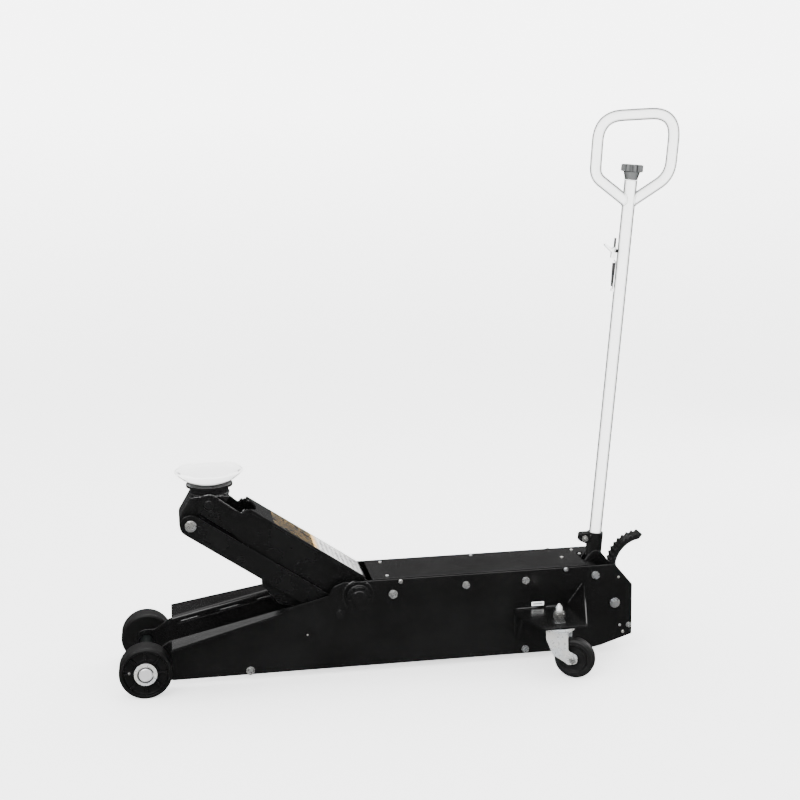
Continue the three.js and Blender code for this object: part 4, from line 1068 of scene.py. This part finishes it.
def saddle():
    """The dished saddle, its four raised rim lugs and its stem."""
    base = SADDLE_BASE

    def lug(angle, radius, height):
        if radius < 73 or height < base + 29.5:
            return 0.0
        off_axis = abs((angle + math.pi / 4) % (math.pi / 2) - math.pi / 4)
        off_diagonal = math.pi / 4 - off_axis
        edge = max(0.0, min(1.0, (math.radians(15.5) - off_diagonal) / math.radians(3.2)))
        ease = edge * edge * (3 - 2 * edge)
        return ease * 3.6

    dish = turned([
        (0, 463.4), (13.5, 463.4, 0.5), (15, 465, 0.8), (15, base), (36.5, base, 2), (50, base + 5.6, 10),
        (64, base + 12.6, 10), (76, base + 22, 8), (SADDLE_R, base + 29, 2), (SADDLE_R, base + 31, 1.2),
        (79.4, base + 32.4, 1.2), (75, base + 31, 1.6), (68, base + 25, 6), (56, base + 18.5, 10),
        (32, base + 15, 8), (0, base + 15),
    ], Matrix.Translation((SADDLE_X, 0, 0)), 192, lug)
    piece("saddle_dish", dish, "saddle", SADDLE_WHITE, "saddle", slot="white_coating", sharp=50)


# ------------------------------------------------------------------ handle

HANDLE_FRAME = (
    Matrix.Translation((HANDLE_PIVOT[0], 0, HANDLE_PIVOT[1])) @ Matrix.Rotation(HANDLE_LEAN, 4, "Y")
)
TUBE_AXIS = HANDLE_FRAME @ Matrix.Translation((HANDLE_OFFSET, 0, 0))
KNOB_Z = 990.4
LOOP_ROOT = 933.0  # height along the tube at which the two ends of the grip loop meet it
TUBE_END = 989.6
TUBE_BORE = 12.5


def loop_points():
    """The centreline of the grip loop, drawn upright beside the tube."""
    root = (17, LOOP_ROOT)
    corners = [root, (-76, 993, 40), (-79, 1137, 66), (116, 1163, 58), (116, 1007, 70), root]
    points = [Vector(corners[0])]
    for i in range(1, len(corners) - 1):
        here = Vector(corners[i][:2])
        radius = corners[i][2]
        before = (Vector(corners[i - 1][:2]) - here).normalized()
        after = (Vector(corners[i + 1][:2]) - here).normalized()
        reach = radius / math.tan(math.acos(before.dot(after)) / 2)
        start, end = here + before * reach, here + after * reach
        straight = max(2, int((start - points[-1]).length / 7))
        last = points[-1]
        points += [last.lerp(start, k / straight) for k in range(1, straight + 1)]
        for k in range(1, 17):
            t = k / 16
            points.append(start * (1 - t) ** 2 + here * 2 * t * (1 - t) + end * t * t)
    last, final = points[-1], Vector(corners[-1])
    points += [last.lerp(final, k / 12) for k in range(1, 13)]
    return [Vector((p.x, 0, p.y)) for p in points]


def handle():
    tube = turned([
        (TUBE_BORE, 26), (TUBE_R - 0.8, 26), (TUBE_R, 26.8), (TUBE_R, 988.5, 1),
        (TUBE_R - 1, TUBE_END, 0.5), (TUBE_BORE, TUBE_END),
    ], TUBE_AXIS, 64)
    loop = pipe(loop_points(), LOOP_R, 40, capped=False)
    loop.transform(HANDLE_FRAME)
    piece("handle_tube_white", joined(tube, loop), "handle", HANDLE_WHITE, "handle_tube",
          slot="white_coating", weighted=False)
    beads = []
    for side, slope in ((-1, 0.645), (1, 0.747)):
        ring_points = []
        for k in range(61):
            angle = 2 * math.pi * k / 60
            y = (LOOP_R - 0.6) * math.sin(angle)
            out = math.sqrt(max(0.0, (TUBE_R + 0.4) ** 2 - y * y))
            height = LOOP_ROOT + slope * out + (LOOP_R + 1.6) * math.cos(angle)
            ring_points.append(HANDLE_FRAME @ Vector((HANDLE_OFFSET + side * out, y, height)))
        beads.append(weld([tuple(p) for p in ring_points], 2.4, (0, 0.2, 1)))
    weld_white = powder_white("weld_white", 0.8, 0.38)
    piece("handle_loop_welds", joined(*beads), "handle", weld_white, slot="white_coating")

    rod = bar(6.0, 16, TUBE_END, TUBE_AXIS)
    joint = bar(9.0, 16, 28, TUBE_AXIS)
    piece("release_shaft", joined(rod, joint), "release", PIN_STEEL, "release_rod", slot="bare_steel")


def knob():
    """The grip knob: a tapered neck under eight lobes and a shallow dome."""
    sides = 160
    shape = []
    rise = (
        (0.0, 9.2), (0.5, 9.6), (0.9, 10.6), (1.0, 12.4), (1.0, 24.5), (0.96, 26.2), (0.86, 27.6),
        (0.7, 28.1), (0.45, 27.5), (0.3, 27.2), (0.12, 27.4),
    )
    for share, height in rise:
        row = []
        for k in range(sides):
            angle = 2 * math.pi * k / sides
            wave = math.cos(8 * angle)
            bulge = 24.7 + 3.7 * (0.5 * wave + 0.5 * (1 - (1 - wave) ** 2 / 2))
            radius = 15 + (bulge - 15) * share
            if share < 0.5:
                radius = 27 * share if height > 20 else 19.5
            row.append((radius * math.cos(angle), radius * math.sin(angle), height))
        shape.append(row)
    head = loft(shape)
    neck = turned([(0, 0), (TUBE_R, 0, 0.8), (TUBE_R + 0.3, 4, 2), (20.0, 17.5, 6), (20.5, 20, 1), (0, 20)],
                  sides=64)
    cap = turned([(0, 27.0), (7.5, 27.0), (8.0, 28.0, 0.4), (7.4, 28.3, 0.3), (0, 28.3)], sides=48)
    whole = joined(copy_of(head, Matrix.Translation((0, 0, 10))), neck)
    cap_up = copy_of(cap, Matrix.Translation((0, 0, 9.7)))
    whole = joined(whole, cap_up)
    whole.transform(TUBE_AXIS @ Matrix.Translation((0, 0, KNOB_Z)))
    piece("grip_knob", whole, "release", KNOB_GREY, "release_knob", slot="knob_plastic", sharp=40)


def socket():
    """The casting that holds the tube: cheeks, a push bar, a cross barrel and two clamping ears."""
    tube = turned([(16.3, 22), (19.7, 22), (20.5, 22.8), (20.5, 89, 0.5), (19.7, 89.8, 0.5), (16.3, 89.8)],
                  TUBE_AXIS, 64)
    top, foot, clamp = (HANDLE_OFFSET, 30.0), (15.5, -29.0), (-13, 74)
    parts = [tube]
    for side in (-1, 1):
        low, high = (13, 23) if side > 0 else (-23, -13)
        parts.append(slab_xz([strap_outline((0, 0), top, 18, 16)], low, high, 1.4))
        parts.append(slab_xz([strap_outline((0, 0), foot, 16, 9)], low + 0.02, high - 0.02, 1.4))
        ends = (13, 74) if side > 0 else (-74, -13)
        parts.append(turned([(8.4, ends[0]), (18, ends[0], 1), (18, ends[1], 1), (8.4, ends[1])],
                            along_y(0, 0), 60))
    parts.append(bar(9.0, -23, 23, along_y(*foot), 1.0))
    for low, high in ((-11, -2), (2, 11)):
        ear = fillet([(-26, 66, 5), (-26, 86, 7), (0.5, 88), (0.5, 60), (-8, 60, 5)])
        parts.append(slab_xz([ear, ring(clamp, 4.4, 24)], low, high, 0.9))
    for part in parts[1:]:
        part.transform(HANDLE_FRAME)
    piece("socket_casting", joined(*parts), "handle", CAST_BLACK, "handle_socket", slot="black_paint",
          sharp=38)

    screw = joined(
        bar(4.0, -19, 17, along_y(*clamp)),
        hexagon(8.5, 0, 6.2, along_y(*clamp, -11.4, -1)),
        hexagon(8.5, 0, 6.0, along_y(*clamp, 11.4), both=True),
    )
    screw.transform(HANDLE_FRAME)
    piece("clamp_screw", screw, "handle", ZINC, "clamp_bolt", slot="zinc_plate")


def latch():
    """The catch on the front of the tube, with its long hooked spring below it."""
    front = HANDLE_OFFSET - TUBE_R
    pivot = along_y(front - 5.5, 814)
    outline = [(front - 17, 795, 3), (front - 6, 795, 3), (front - 3, 822, 3), (front - 16, 822, 4)]
    block = slab_xz([fillet(outline)], -4, 4, 0.9)
    lever = slab_xz([strap_outline((front - 13, 812), (front - 34, 827), 4, 2.5)], -3.9, 3.9, 0.8)
    collars = [
        turned([(0, 3.8), (4.6, 3.8), (4.6, 7.6, 0.5), (3.2, 8), (3.2, 10), (0, 10)], pivot, 28),
        turned([(0, -10), (3.2, -10), (3.2, -8), (4.6, -7.6, 0.5), (4.6, -3.8), (0, -3.8)], pivot, 28),
    ]
    body = joined(block, lever, *collars)
    body.transform(HANDLE_FRAME)
    piece("latch_catch", body, "latch", HANDLE_WHITE, "latch_lever", slot="zinc_plate")
    dots = joined(
        turned([(0, 9.8), (4.4, 10.0, 0.4), (4.4, 11.6, 0.5), (0, 12)], pivot, 28),
        turned([(0, -12), (4.4, -11.6, 0.5), (4.4, -10.0, 0.4), (0, -9.8)], pivot, 28),
        threaded(3.3, 820, 845.8, Matrix.Translation((front - 9, 0, 0)), 1.6),
    )
    dots.transform(HANDLE_FRAME)
    piece("latch_pin", dots, "latch", DARK_STEEL, slot="bare_steel")

    low, high, wire = 725.0, 784.0, 1.1
    turns, steps = 27, 27 * 20
    middle = front - 6.2
    coil = [Vector((middle + dx, 0, low + dz)) for dx, dz in ((0, -7), (1.8, -6), (2.0, -3))]
    for k in range(steps + 1):
        t = k / steps
        radius = 2.2 + 1.5 * t
        angle = 2 * math.pi * turns * t
        height = low + (high - low) * t
        coil.append(Vector((middle + radius * math.cos(angle), radius * math.sin(angle), height)))
    coil += [Vector((middle + dx, 0, high + dz)) for dx, dz in ((2.4, 3), (0.8, 6.4), (-1.4, 6.8))]
    spring = pipe(coil, wire, 10)
    spring.transform(HANDLE_FRAME)
    piece("latch_coil", spring, "handle", DARK_STEEL, "latch_spring", slot="bare_steel", weighted=False)
    tip = middle - 1.6
    root = front + 0.4
    outline = fillet([(root, low - 14), (tip, low - 12, 1.4), (tip, low - 6, 1.4), (root, low - 4)])
    tongue = slab_xz([outline], -2.6, 2.6, 0.5)
    tongue.transform(HANDLE_FRAME)
    piece("spring_anchor", tongue, "handle", HANDLE_WHITE, slot="white_coating")


# ------------------------------------------------------------------ foot pedal


def pedal():
    """The curved tread with its cast teeth, on a stem and a sleeve."""
    inner, outer = 72.5, 83.0
    start, end = math.radians(172), math.radians(98)
    teeth = 9
    points = []

    def at(radius, angle):
        return Vector((PEDAL_ARC[0] + radius * math.cos(angle), PEDAL_ARC[1] + radius * math.sin(angle)))

    for k in range(29):
        points.append(at(inner, start + (end - start) * k / 28))
    run = end - 0.12 - start
    for k in range(teeth, 0, -1):
        here = start + run * k / teeth
        nose = start + run * (k - 0.35) / teeth
        points.append(at(outer, here))
        points.append(at(outer + 3.8, here * 0.35 + nose * 0.65))
        points.append(at(outer + 5.2, nose - 0.006))
        points.append(at(outer + 4.6, nose + 0.012))
    points.append(at(outer, start))
    tread = slab_xz([points], -66, -30, 0.7)
    hub = PEDAL_PIVOT
    stem = slab_xz([strap_outline(hub, (1184, 226), 17, 11), ring(hub, 10)], -53, -43, 1.6)
    nose = slab_xz([strap_outline(hub, (1152, 146), 14, 8), ring(hub, 10)], -52.9, -43.1, 1.6)
    sleeve = turned([(8.4, -66), (14, -66, 1), (14, -34, 1), (8.4, -34)], along_y(*hub), 60)
    piece("pedal_casting", joined(tread, stem, nose, sleeve), "pedal", CAST_BLACK, "foot_pedal",
          slot="black_paint", sharp=40)
    beads = [weld([(1176.4, y, 212), (1183, y, 236)], 2.8) for y in (-53.4, -42.6)]
    hoop = [(hub[0] + 14.6 * math.cos(a / 6), -53.6, hub[1] + 14.6 * math.sin(a / 6)) for a in range(38)]
    beads.append(weld(hoop, 2.4))
    piece("pedal_welds", joined(*beads), "pedal", SEAM_BLACK, slot="black_paint")
    coil = []
    turns, steps = 4, 4 * 40
    for k in range(steps + 1):
        t = k / steps
        angle = 2 * math.pi * turns * t
        coil.append((hub[0] + 12.5 * math.cos(angle), -29 + 18 * t, hub[1] - 12.5 * math.sin(angle)))
    piece("pedal_coil", pipe(coil, 1.75, 14, start_up=(0, 0, 1)), "chassis", SPRING_STEEL, "pedal_spring",
          slot="bare_steel", weighted=False)


# ------------------------------------------------------------------ rear casters

CASTER_FRAME = Matrix.Translation((*SWIVEL, 0)) @ Matrix.Rotation(CASTER_YAW, 4, "Z")


def caster_brackets():
    wall = WALL_OUT + 0.4
    outline = fillet([(919, wall), (1054, wall), (1068, 237, 6), (955, 237, 6), (912, 110, 6)])
    shelf = slab([outline, ring(SWIVEL, 8.4, 32)], SHELF_TOP - 6, SHELF_TOP, 0.9)
    under = SHELF_TOP - 5.4
    gusset_outline = fillet([(wall, 62), (100, 62, 2), (146, 122, 3), (146, under), (wall, under)])
    gusset = slab_yz([gusset_outline], 921, 927, 0.7)
    low = Vector((1052, wall, SHELF_TOP - 1))
    high = Vector((1098, wall, 198))
    far = Vector((1064, 226, SHELF_TOP - 1))
    across = (far - low).normalized()
    normal = (high - low).cross(far - low).normalized()
    up = normal.cross(across)
    frame_of_stay = Matrix((
        (across.x, up.x, normal.x, low.x), (across.y, up.y, normal.y, low.y),
        (across.z, up.z, normal.z, low.z), (0, 0, 0, 1),
    ))
    flat = [frame_of_stay.inverted() @ p for p in (low, high, far)]
    inset = [flat[0].xy + Vector((0.6, 0.1)), flat[1].xy + Vector((0.6, -0.4)), flat[2].xy + Vector((0, 0.1))]
    stay = slab([inset], -4.6, -0.2, 0.5, frame_of_stay)
    pair("caster_shelf", joined(shelf, gusset, stay), "chassis", FRAME_BLACK, "caster_bracket_{side}",
         slot="black_paint")
    beads = [
        weld([(925, wall + 0.8, SHELF_TOP + 0.6), (980, wall + 0.8, SHELF_TOP + 0.6)], 3.0, (0, 0, 1)),
        weld([(1000, wall + 0.8, SHELF_TOP + 0.6), (1048, wall + 0.8, SHELF_TOP + 0.6)], 3.0, (0, 0, 1)),
        weld([(920.4, wall + 0.8, 68), (920.4, wall + 0.8, 124)], 2.6),
        weld([(1057, wall + 0.8, 141), (1096, wall + 0.8, 193)], 2.4),
    ]
    pair("caster_shelf_welds", joined(*beads), "chassis", SEAM_BLACK, slot="black_paint")


def casters():
    crown = turned([
        (0, 121.2), (33, 121.2, 1), (39.2, 122.6, 2), (40, 126.0, 1.5), (39.0, 129.3, 1), (0, 129.5),
    ])
    race = turned([(0, 115.2), (31, 115.2, 1.5), (34, 117.4, 1.5), (33.4, 121.4), (0, 121.4)])
    balls = turned([(34.4, 120.2), (37.2, 119.6, 0.6), (37.6, 121.4), (34.4, 121.6)])
    stem = threaded(7.8, 128, 176, Matrix(), 1.75)
    point = turned([(0, 175), (6.6, 175), (6.4, 176.5, 0.6), (2.6, 183.0, 1.0), (0, 183.8)], sides=32)
    wheel_at = (CASTER_TRAIL, CASTER_R)
    legs = []
    outline = fillet([
        (-27, 117.6), (-27, 96, 12), (-10, 58, 14), (CASTER_TRAIL - 10, CASTER_R - 14, 9),
        (CASTER_TRAIL + 12, CASTER_R - 8, 10), (CASTER_TRAIL + 10, CASTER_R + 12, 8),
        (28, 72, 8), (28, 117.6),
    ])
    for low, high in ((18, 21.5), (-21.5, -18)):
        legs.append(slab_xz([outline, ring(wheel_at, 5.4, 24)], low, high, 0.9))
    knees = []
    for side in (-1, 1):
        rows = []
        for x in (-27, -18, -6, 6, 18, 28):
            row = []
            for k in range(7):
                angle = math.pi / 2 * k / 6
                row.append((x, side * (17.5 + 4.0 * math.cos(angle)), 117.4 + 4.0 * math.sin(angle)))
            row.append((x, side * 16.5, 121.4))
            row.append((x, side * 16.5, 117.4))
            rows.append(row)
        knees.append(loft(rows))
    fork = joined(crown, race, balls, stem, point, *legs, *knees)
    fork.transform(CASTER_FRAME)
    pair("fork", fork, "caster_{side}", FORK_ZINC, "caster_fork_{side}", slot="zinc_plate", sharp=36)

    foot, washer_top = SHELF_TOP + 0.3, SHELF_TOP + 2.6
    nut = joined(
        turned([(8.4, foot), (16.0, foot, 0.4), (16.0, washer_top, 0.8), (8.4, washer_top)]),
        turned([(8.4, SHELF_TOP + 2.5), (12.4, SHELF_TOP + 2.5), (12.4, 149, 0.6), (8.4, 149)]),
        hexagon(15.5, 148.8, 162.0, bore=8.4),
        turned([(8.4, 161.8), (12.8, 161.8), (12.8, 164.0, 1.5), (10.6, 166, 1.2), (8.4, 166)]),
    )
    nut.transform(CASTER_FRAME)
    pair("stem_nut", nut, "caster_{side}", NUT_STEEL, "caster_nut_{side}", slot="zinc_plate")

    place = CASTER_FRAME @ along_y(*wheel_at)
    half = [
        (5.4, 17), (11.4, 17, 1), (13, 10, 2), (20, 8.6, 4), (31, 9.6, 3), (34, 14.6, 1.5), (36, 15, 1),
        (43.6, 15, 3), (48.4, 11, 4), (CASTER_R, 6, 5),
    ]
    near = [(r, -y, *rest) for r, y, *rest in half]
    rim = turned(near + half[::-1], place, 112)
    pair("caster_tyre", rim, "caster_wheel_{side}", CASTER_BLACK, "caster_wheel_{side}", slot="caster_rubber")
    bolt = joined(
        bar(4.9, -27.6, 27.6, along_y(*wheel_at)),
        hexagon(9.0, 0, 5.4, along_y(*wheel_at, 21.9)),
        hexagon(9.0, 0, 4.6, along_y(*wheel_at, -21.9, -1), both=True),
    )
    bolt.transform(CASTER_FRAME)
    pair("caster_bolt", bolt, "caster_{side}", ZINC, "caster_axle_{side}", slot="zinc_plate")


# ------------------------------------------------------------------ hydraulics and labels


def dressed(node, material, bevel=0.8):
    """A CAD part whose shape is right: it gets soft edges, smooth shading and its own material."""
    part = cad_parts[node]
    part.data.materials.clear()
    part.data.materials.append(material)
    edges = part.modifiers.new("edges", "BEVEL")
    edges.width = bevel * MM
    edges.segments = 2
    edges.limit_method = "ANGLE"
    edges.angle_limit = math.radians(40)
    part.data.polygons.foreach_set("use_smooth", [True] * len(part.data.polygons))
    part.data.set_sharp_from_angle(angle=math.radians(40))
    normals = part.modifiers.new("normals", "WEIGHTED_NORMAL")
    normals.keep_sharp = True


RAM_Z = 113.0  # height of the axis of ram, cylinder and reservoir


def hydraulics():
    for node in ("lift_cylinder", "reservoir"):
        dressed(node, FRAME_BLACK, 1.2)
    dressed("pump_block", CAST_BLACK, 2.0)
    dressed("ram_clevis", PIN_STEEL, 1.5)
    dressed("ram", RAM_CHROME, 1.0)
    dressed("pump_plunger", RAM_CHROME, 0.8)
    dressed("valve_shaft", PIN_STEEL, 0.6)
    bands = []
    for x, radius in ((642, 46.5), (716, 61.2), (994, 61.2)):
        section = [(radius - 3.5, 0), (radius, 1, 1), (radius, 5, 1), (radius - 3.5, 6)]
        bands.append(turned(section, along_x(0, RAM_Z, x)))
    gland = turned([(26.6, 0), (40, 0, 1.5), (42, 5, 1), (42, 8), (26.6, 8)], along_x(0, RAM_Z, 632.5))
    piece("cylinder_bands", joined(*bands, gland), "chassis", SEAM_BLACK, slot="black_paint")
    cap = [(0, 0), (6.5, 0), (6.5, 6, 1), (3.4, 6.2), (3.2, 3.0), (0, 3.0)]
    caps = []
    for y, z in ((-34, 182), (34, 182), (-34, 78), (34, 78)):
        caps.append(turned(cap, along_x(y, z, 1091.9), 36))
    piece("pump_screws", joined(*caps), "chassis", ZINC)


def side_label():
    """A plain sticker with one dark bar, on the left wall above the caster shelf."""
    centre = Vector((979.5, -WALL_OUT - 0.12, 146.5))
    half_x, half_z = 16.0, 5.2
    corners = [(centre.x + sx * half_x, centre.z + sz * half_z, 1)
               for sx, sz in ((-1, -1), (1, -1), (1, 1), (-1, 1))]
    print_look = small_label("side_label_print", TO_ROW @ centre)
    sticker = slab_xz([fillet(corners)], -WALL_OUT - 0.22, -WALL_OUT - 0.03, 0.06)
    piece("side_label", sticker, "chassis", print_look, sharp=60)


# ------------------------------------------------------------------ assembly

chassis()
tie_bolts()
pivots()
small_fasteners()
front_wheels()
lift_arm()
links()
saddle_head()
saddle()
handle()
knob()
socket()
latch()
pedal()
caster_brackets()
casters()
hydraulics()
side_label()


# ------------------------------------------------------------------ floor, light and camera


# the backdrop, in metres
BOWL_R = 8.0
BOWL_CURVE = 3.0
BOWL_TOP = 6.0


def studio_floor():
    """A pale floor that rises round the object in one sweep. Polished surfaces don't mirror it."""
    flat = BOWL_R - BOWL_CURVE
    profile = [(0, 0), (flat, 0)]
    for k in range(1, 25):
        angle = math.pi / 2 * k / 24
        profile.append((flat + BOWL_CURVE * math.sin(angle), BOWL_CURVE * (1 - math.cos(angle))))
    profile.append((BOWL_R, BOWL_TOP))
    shape = turned([*profile, (0, BOWL_TOP + 0.001)], sides=96)
    lid = [face for face in shape.faces if all(v.co.z > BOWL_TOP - 0.01 for v in face.verts)]
    bmesh.ops.delete(shape, geom=lid, context="FACES")
    mesh = bpy.data.meshes.new("studio_floor")
    shape.to_mesh(mesh)
    shape.free()
    mesh.polygons.foreach_set("use_smooth", [True] * len(mesh.polygons))
    look = Look("studio_floor")
    base = look.blend(look.noise(1.2, 2), (0.8, 0.8, 0.8, 1), (0.84, 0.84, 0.84, 1))
    height = look.node("ShaderNodeSeparateXYZ", {"Vector": look.coords}).outputs["Z"]
    glow = look.spread(height, 0.0, 1.5, 1.25, 3.2)
    mesh.materials.append(look.set(
        Base_Color=base, Roughness=look.spread(look.noise(30, 3), 0.3, 0.7, 0.7, 0.8),
        Emission_Color=(1, 1, 1, 1), Emission_Strength=glow, Specular_IOR_Level=0.2,
    ))
    floor = bpy.data.objects.new("studio_floor", mesh)
    bpy.context.scene.collection.objects.link(floor)
    floor.visible_glossy = False


def softbox(name, place, aim, size, power):
    data = bpy.data.lights.new(name, "AREA")
    data.shape = "RECTANGLE"
    data.size, data.size_y = size
    data.energy = power
    lamp = bpy.data.objects.new(name, data)
    bpy.context.scene.collection.objects.link(lamp)
    lamp.location = place
    lamp.rotation_mode = "QUATERNION"
    lamp.rotation_quaternion = (Vector(aim) - Vector(place)).to_track_quat("-Z", "Y")


def lights():
    """A dim room with a pale band low on its walls and a bright ceiling, and three softboxes."""
    world = bpy.data.worlds.new("studio")
    world.use_nodes = True
    tree = world.node_tree
    way = tree.nodes.new("ShaderNodeTexCoord")
    parts = tree.nodes.new("ShaderNodeSeparateXYZ")
    tree.links.new(way.outputs["Generated"], parts.inputs[0])
    shades = tree.nodes.new("ShaderNodeValToRGB")
    ramp = shades.color_ramp
    stops = ((0.0, 0.04), (0.1, 0.04), (0.13, 0.32), (0.225, 0.32), (0.262, 0.03), (0.55, 0.03), (0.7, 1.0))
    for place, _ in stops[2:]:
        ramp.elements.new(place)
    for stop, (place, value) in zip(ramp.elements, stops):
        stop.position = place
        stop.color = (value, value, value, 1)
    tree.links.new(parts.outputs["Z"], shades.inputs["Fac"])
    back = tree.nodes["Background"]
    tree.links.new(shades.outputs["Color"], back.inputs["Color"])
    back.inputs["Strength"].default_value = 2.2
    bpy.context.scene.world = world
    softbox("key", (-1.6, -2.6, 3.2), (0, 0, 0.3), (2.0, 1.6), 90)
    softbox("top", (0.4, 1.2, 3.6), (0, 0, 0.3), (3.0, 2.0), 70)
    softbox("rim", (2.6, 1.6, 1.6), (0.2, 0, 0.5), (1.2, 1.8), 40)


def camera():
    """In front of the left side, about as high as the top of the handle, looking down at the middle."""
    yaw, pitch, roll = math.radians(9.26), math.radians(10.79), math.radians(-0.99)
    data = bpy.data.cameras.new("camera")
    data.sensor_width = 36.0
    data.lens = 63.4
    eye = bpy.data.objects.new("camera", data)
    bpy.context.scene.collection.objects.link(eye)
    eye.location = (AXLE_AT.x + 0.098, -3.386, 1.324)
    forward = Vector((math.sin(yaw) * math.cos(pitch), math.cos(yaw) * math.cos(pitch), -math.sin(pitch)))
    level = Vector((math.cos(yaw), -math.sin(yaw), 0))
    up = level.cross(forward)
    right = math.cos(roll) * level + math.sin(roll) * up
    above = -math.sin(roll) * level + math.cos(roll) * up
    back = -forward
    eye.matrix_world = Matrix((
        (right.x, above.x, back.x, eye.location.x),
        (right.y, above.y, back.y, eye.location.y),
        (right.z, above.z, back.z, eye.location.z),
        (0, 0, 0, 1),
    ))
    bpy.context.scene.camera = eye


studio_floor()
lights()
camera()
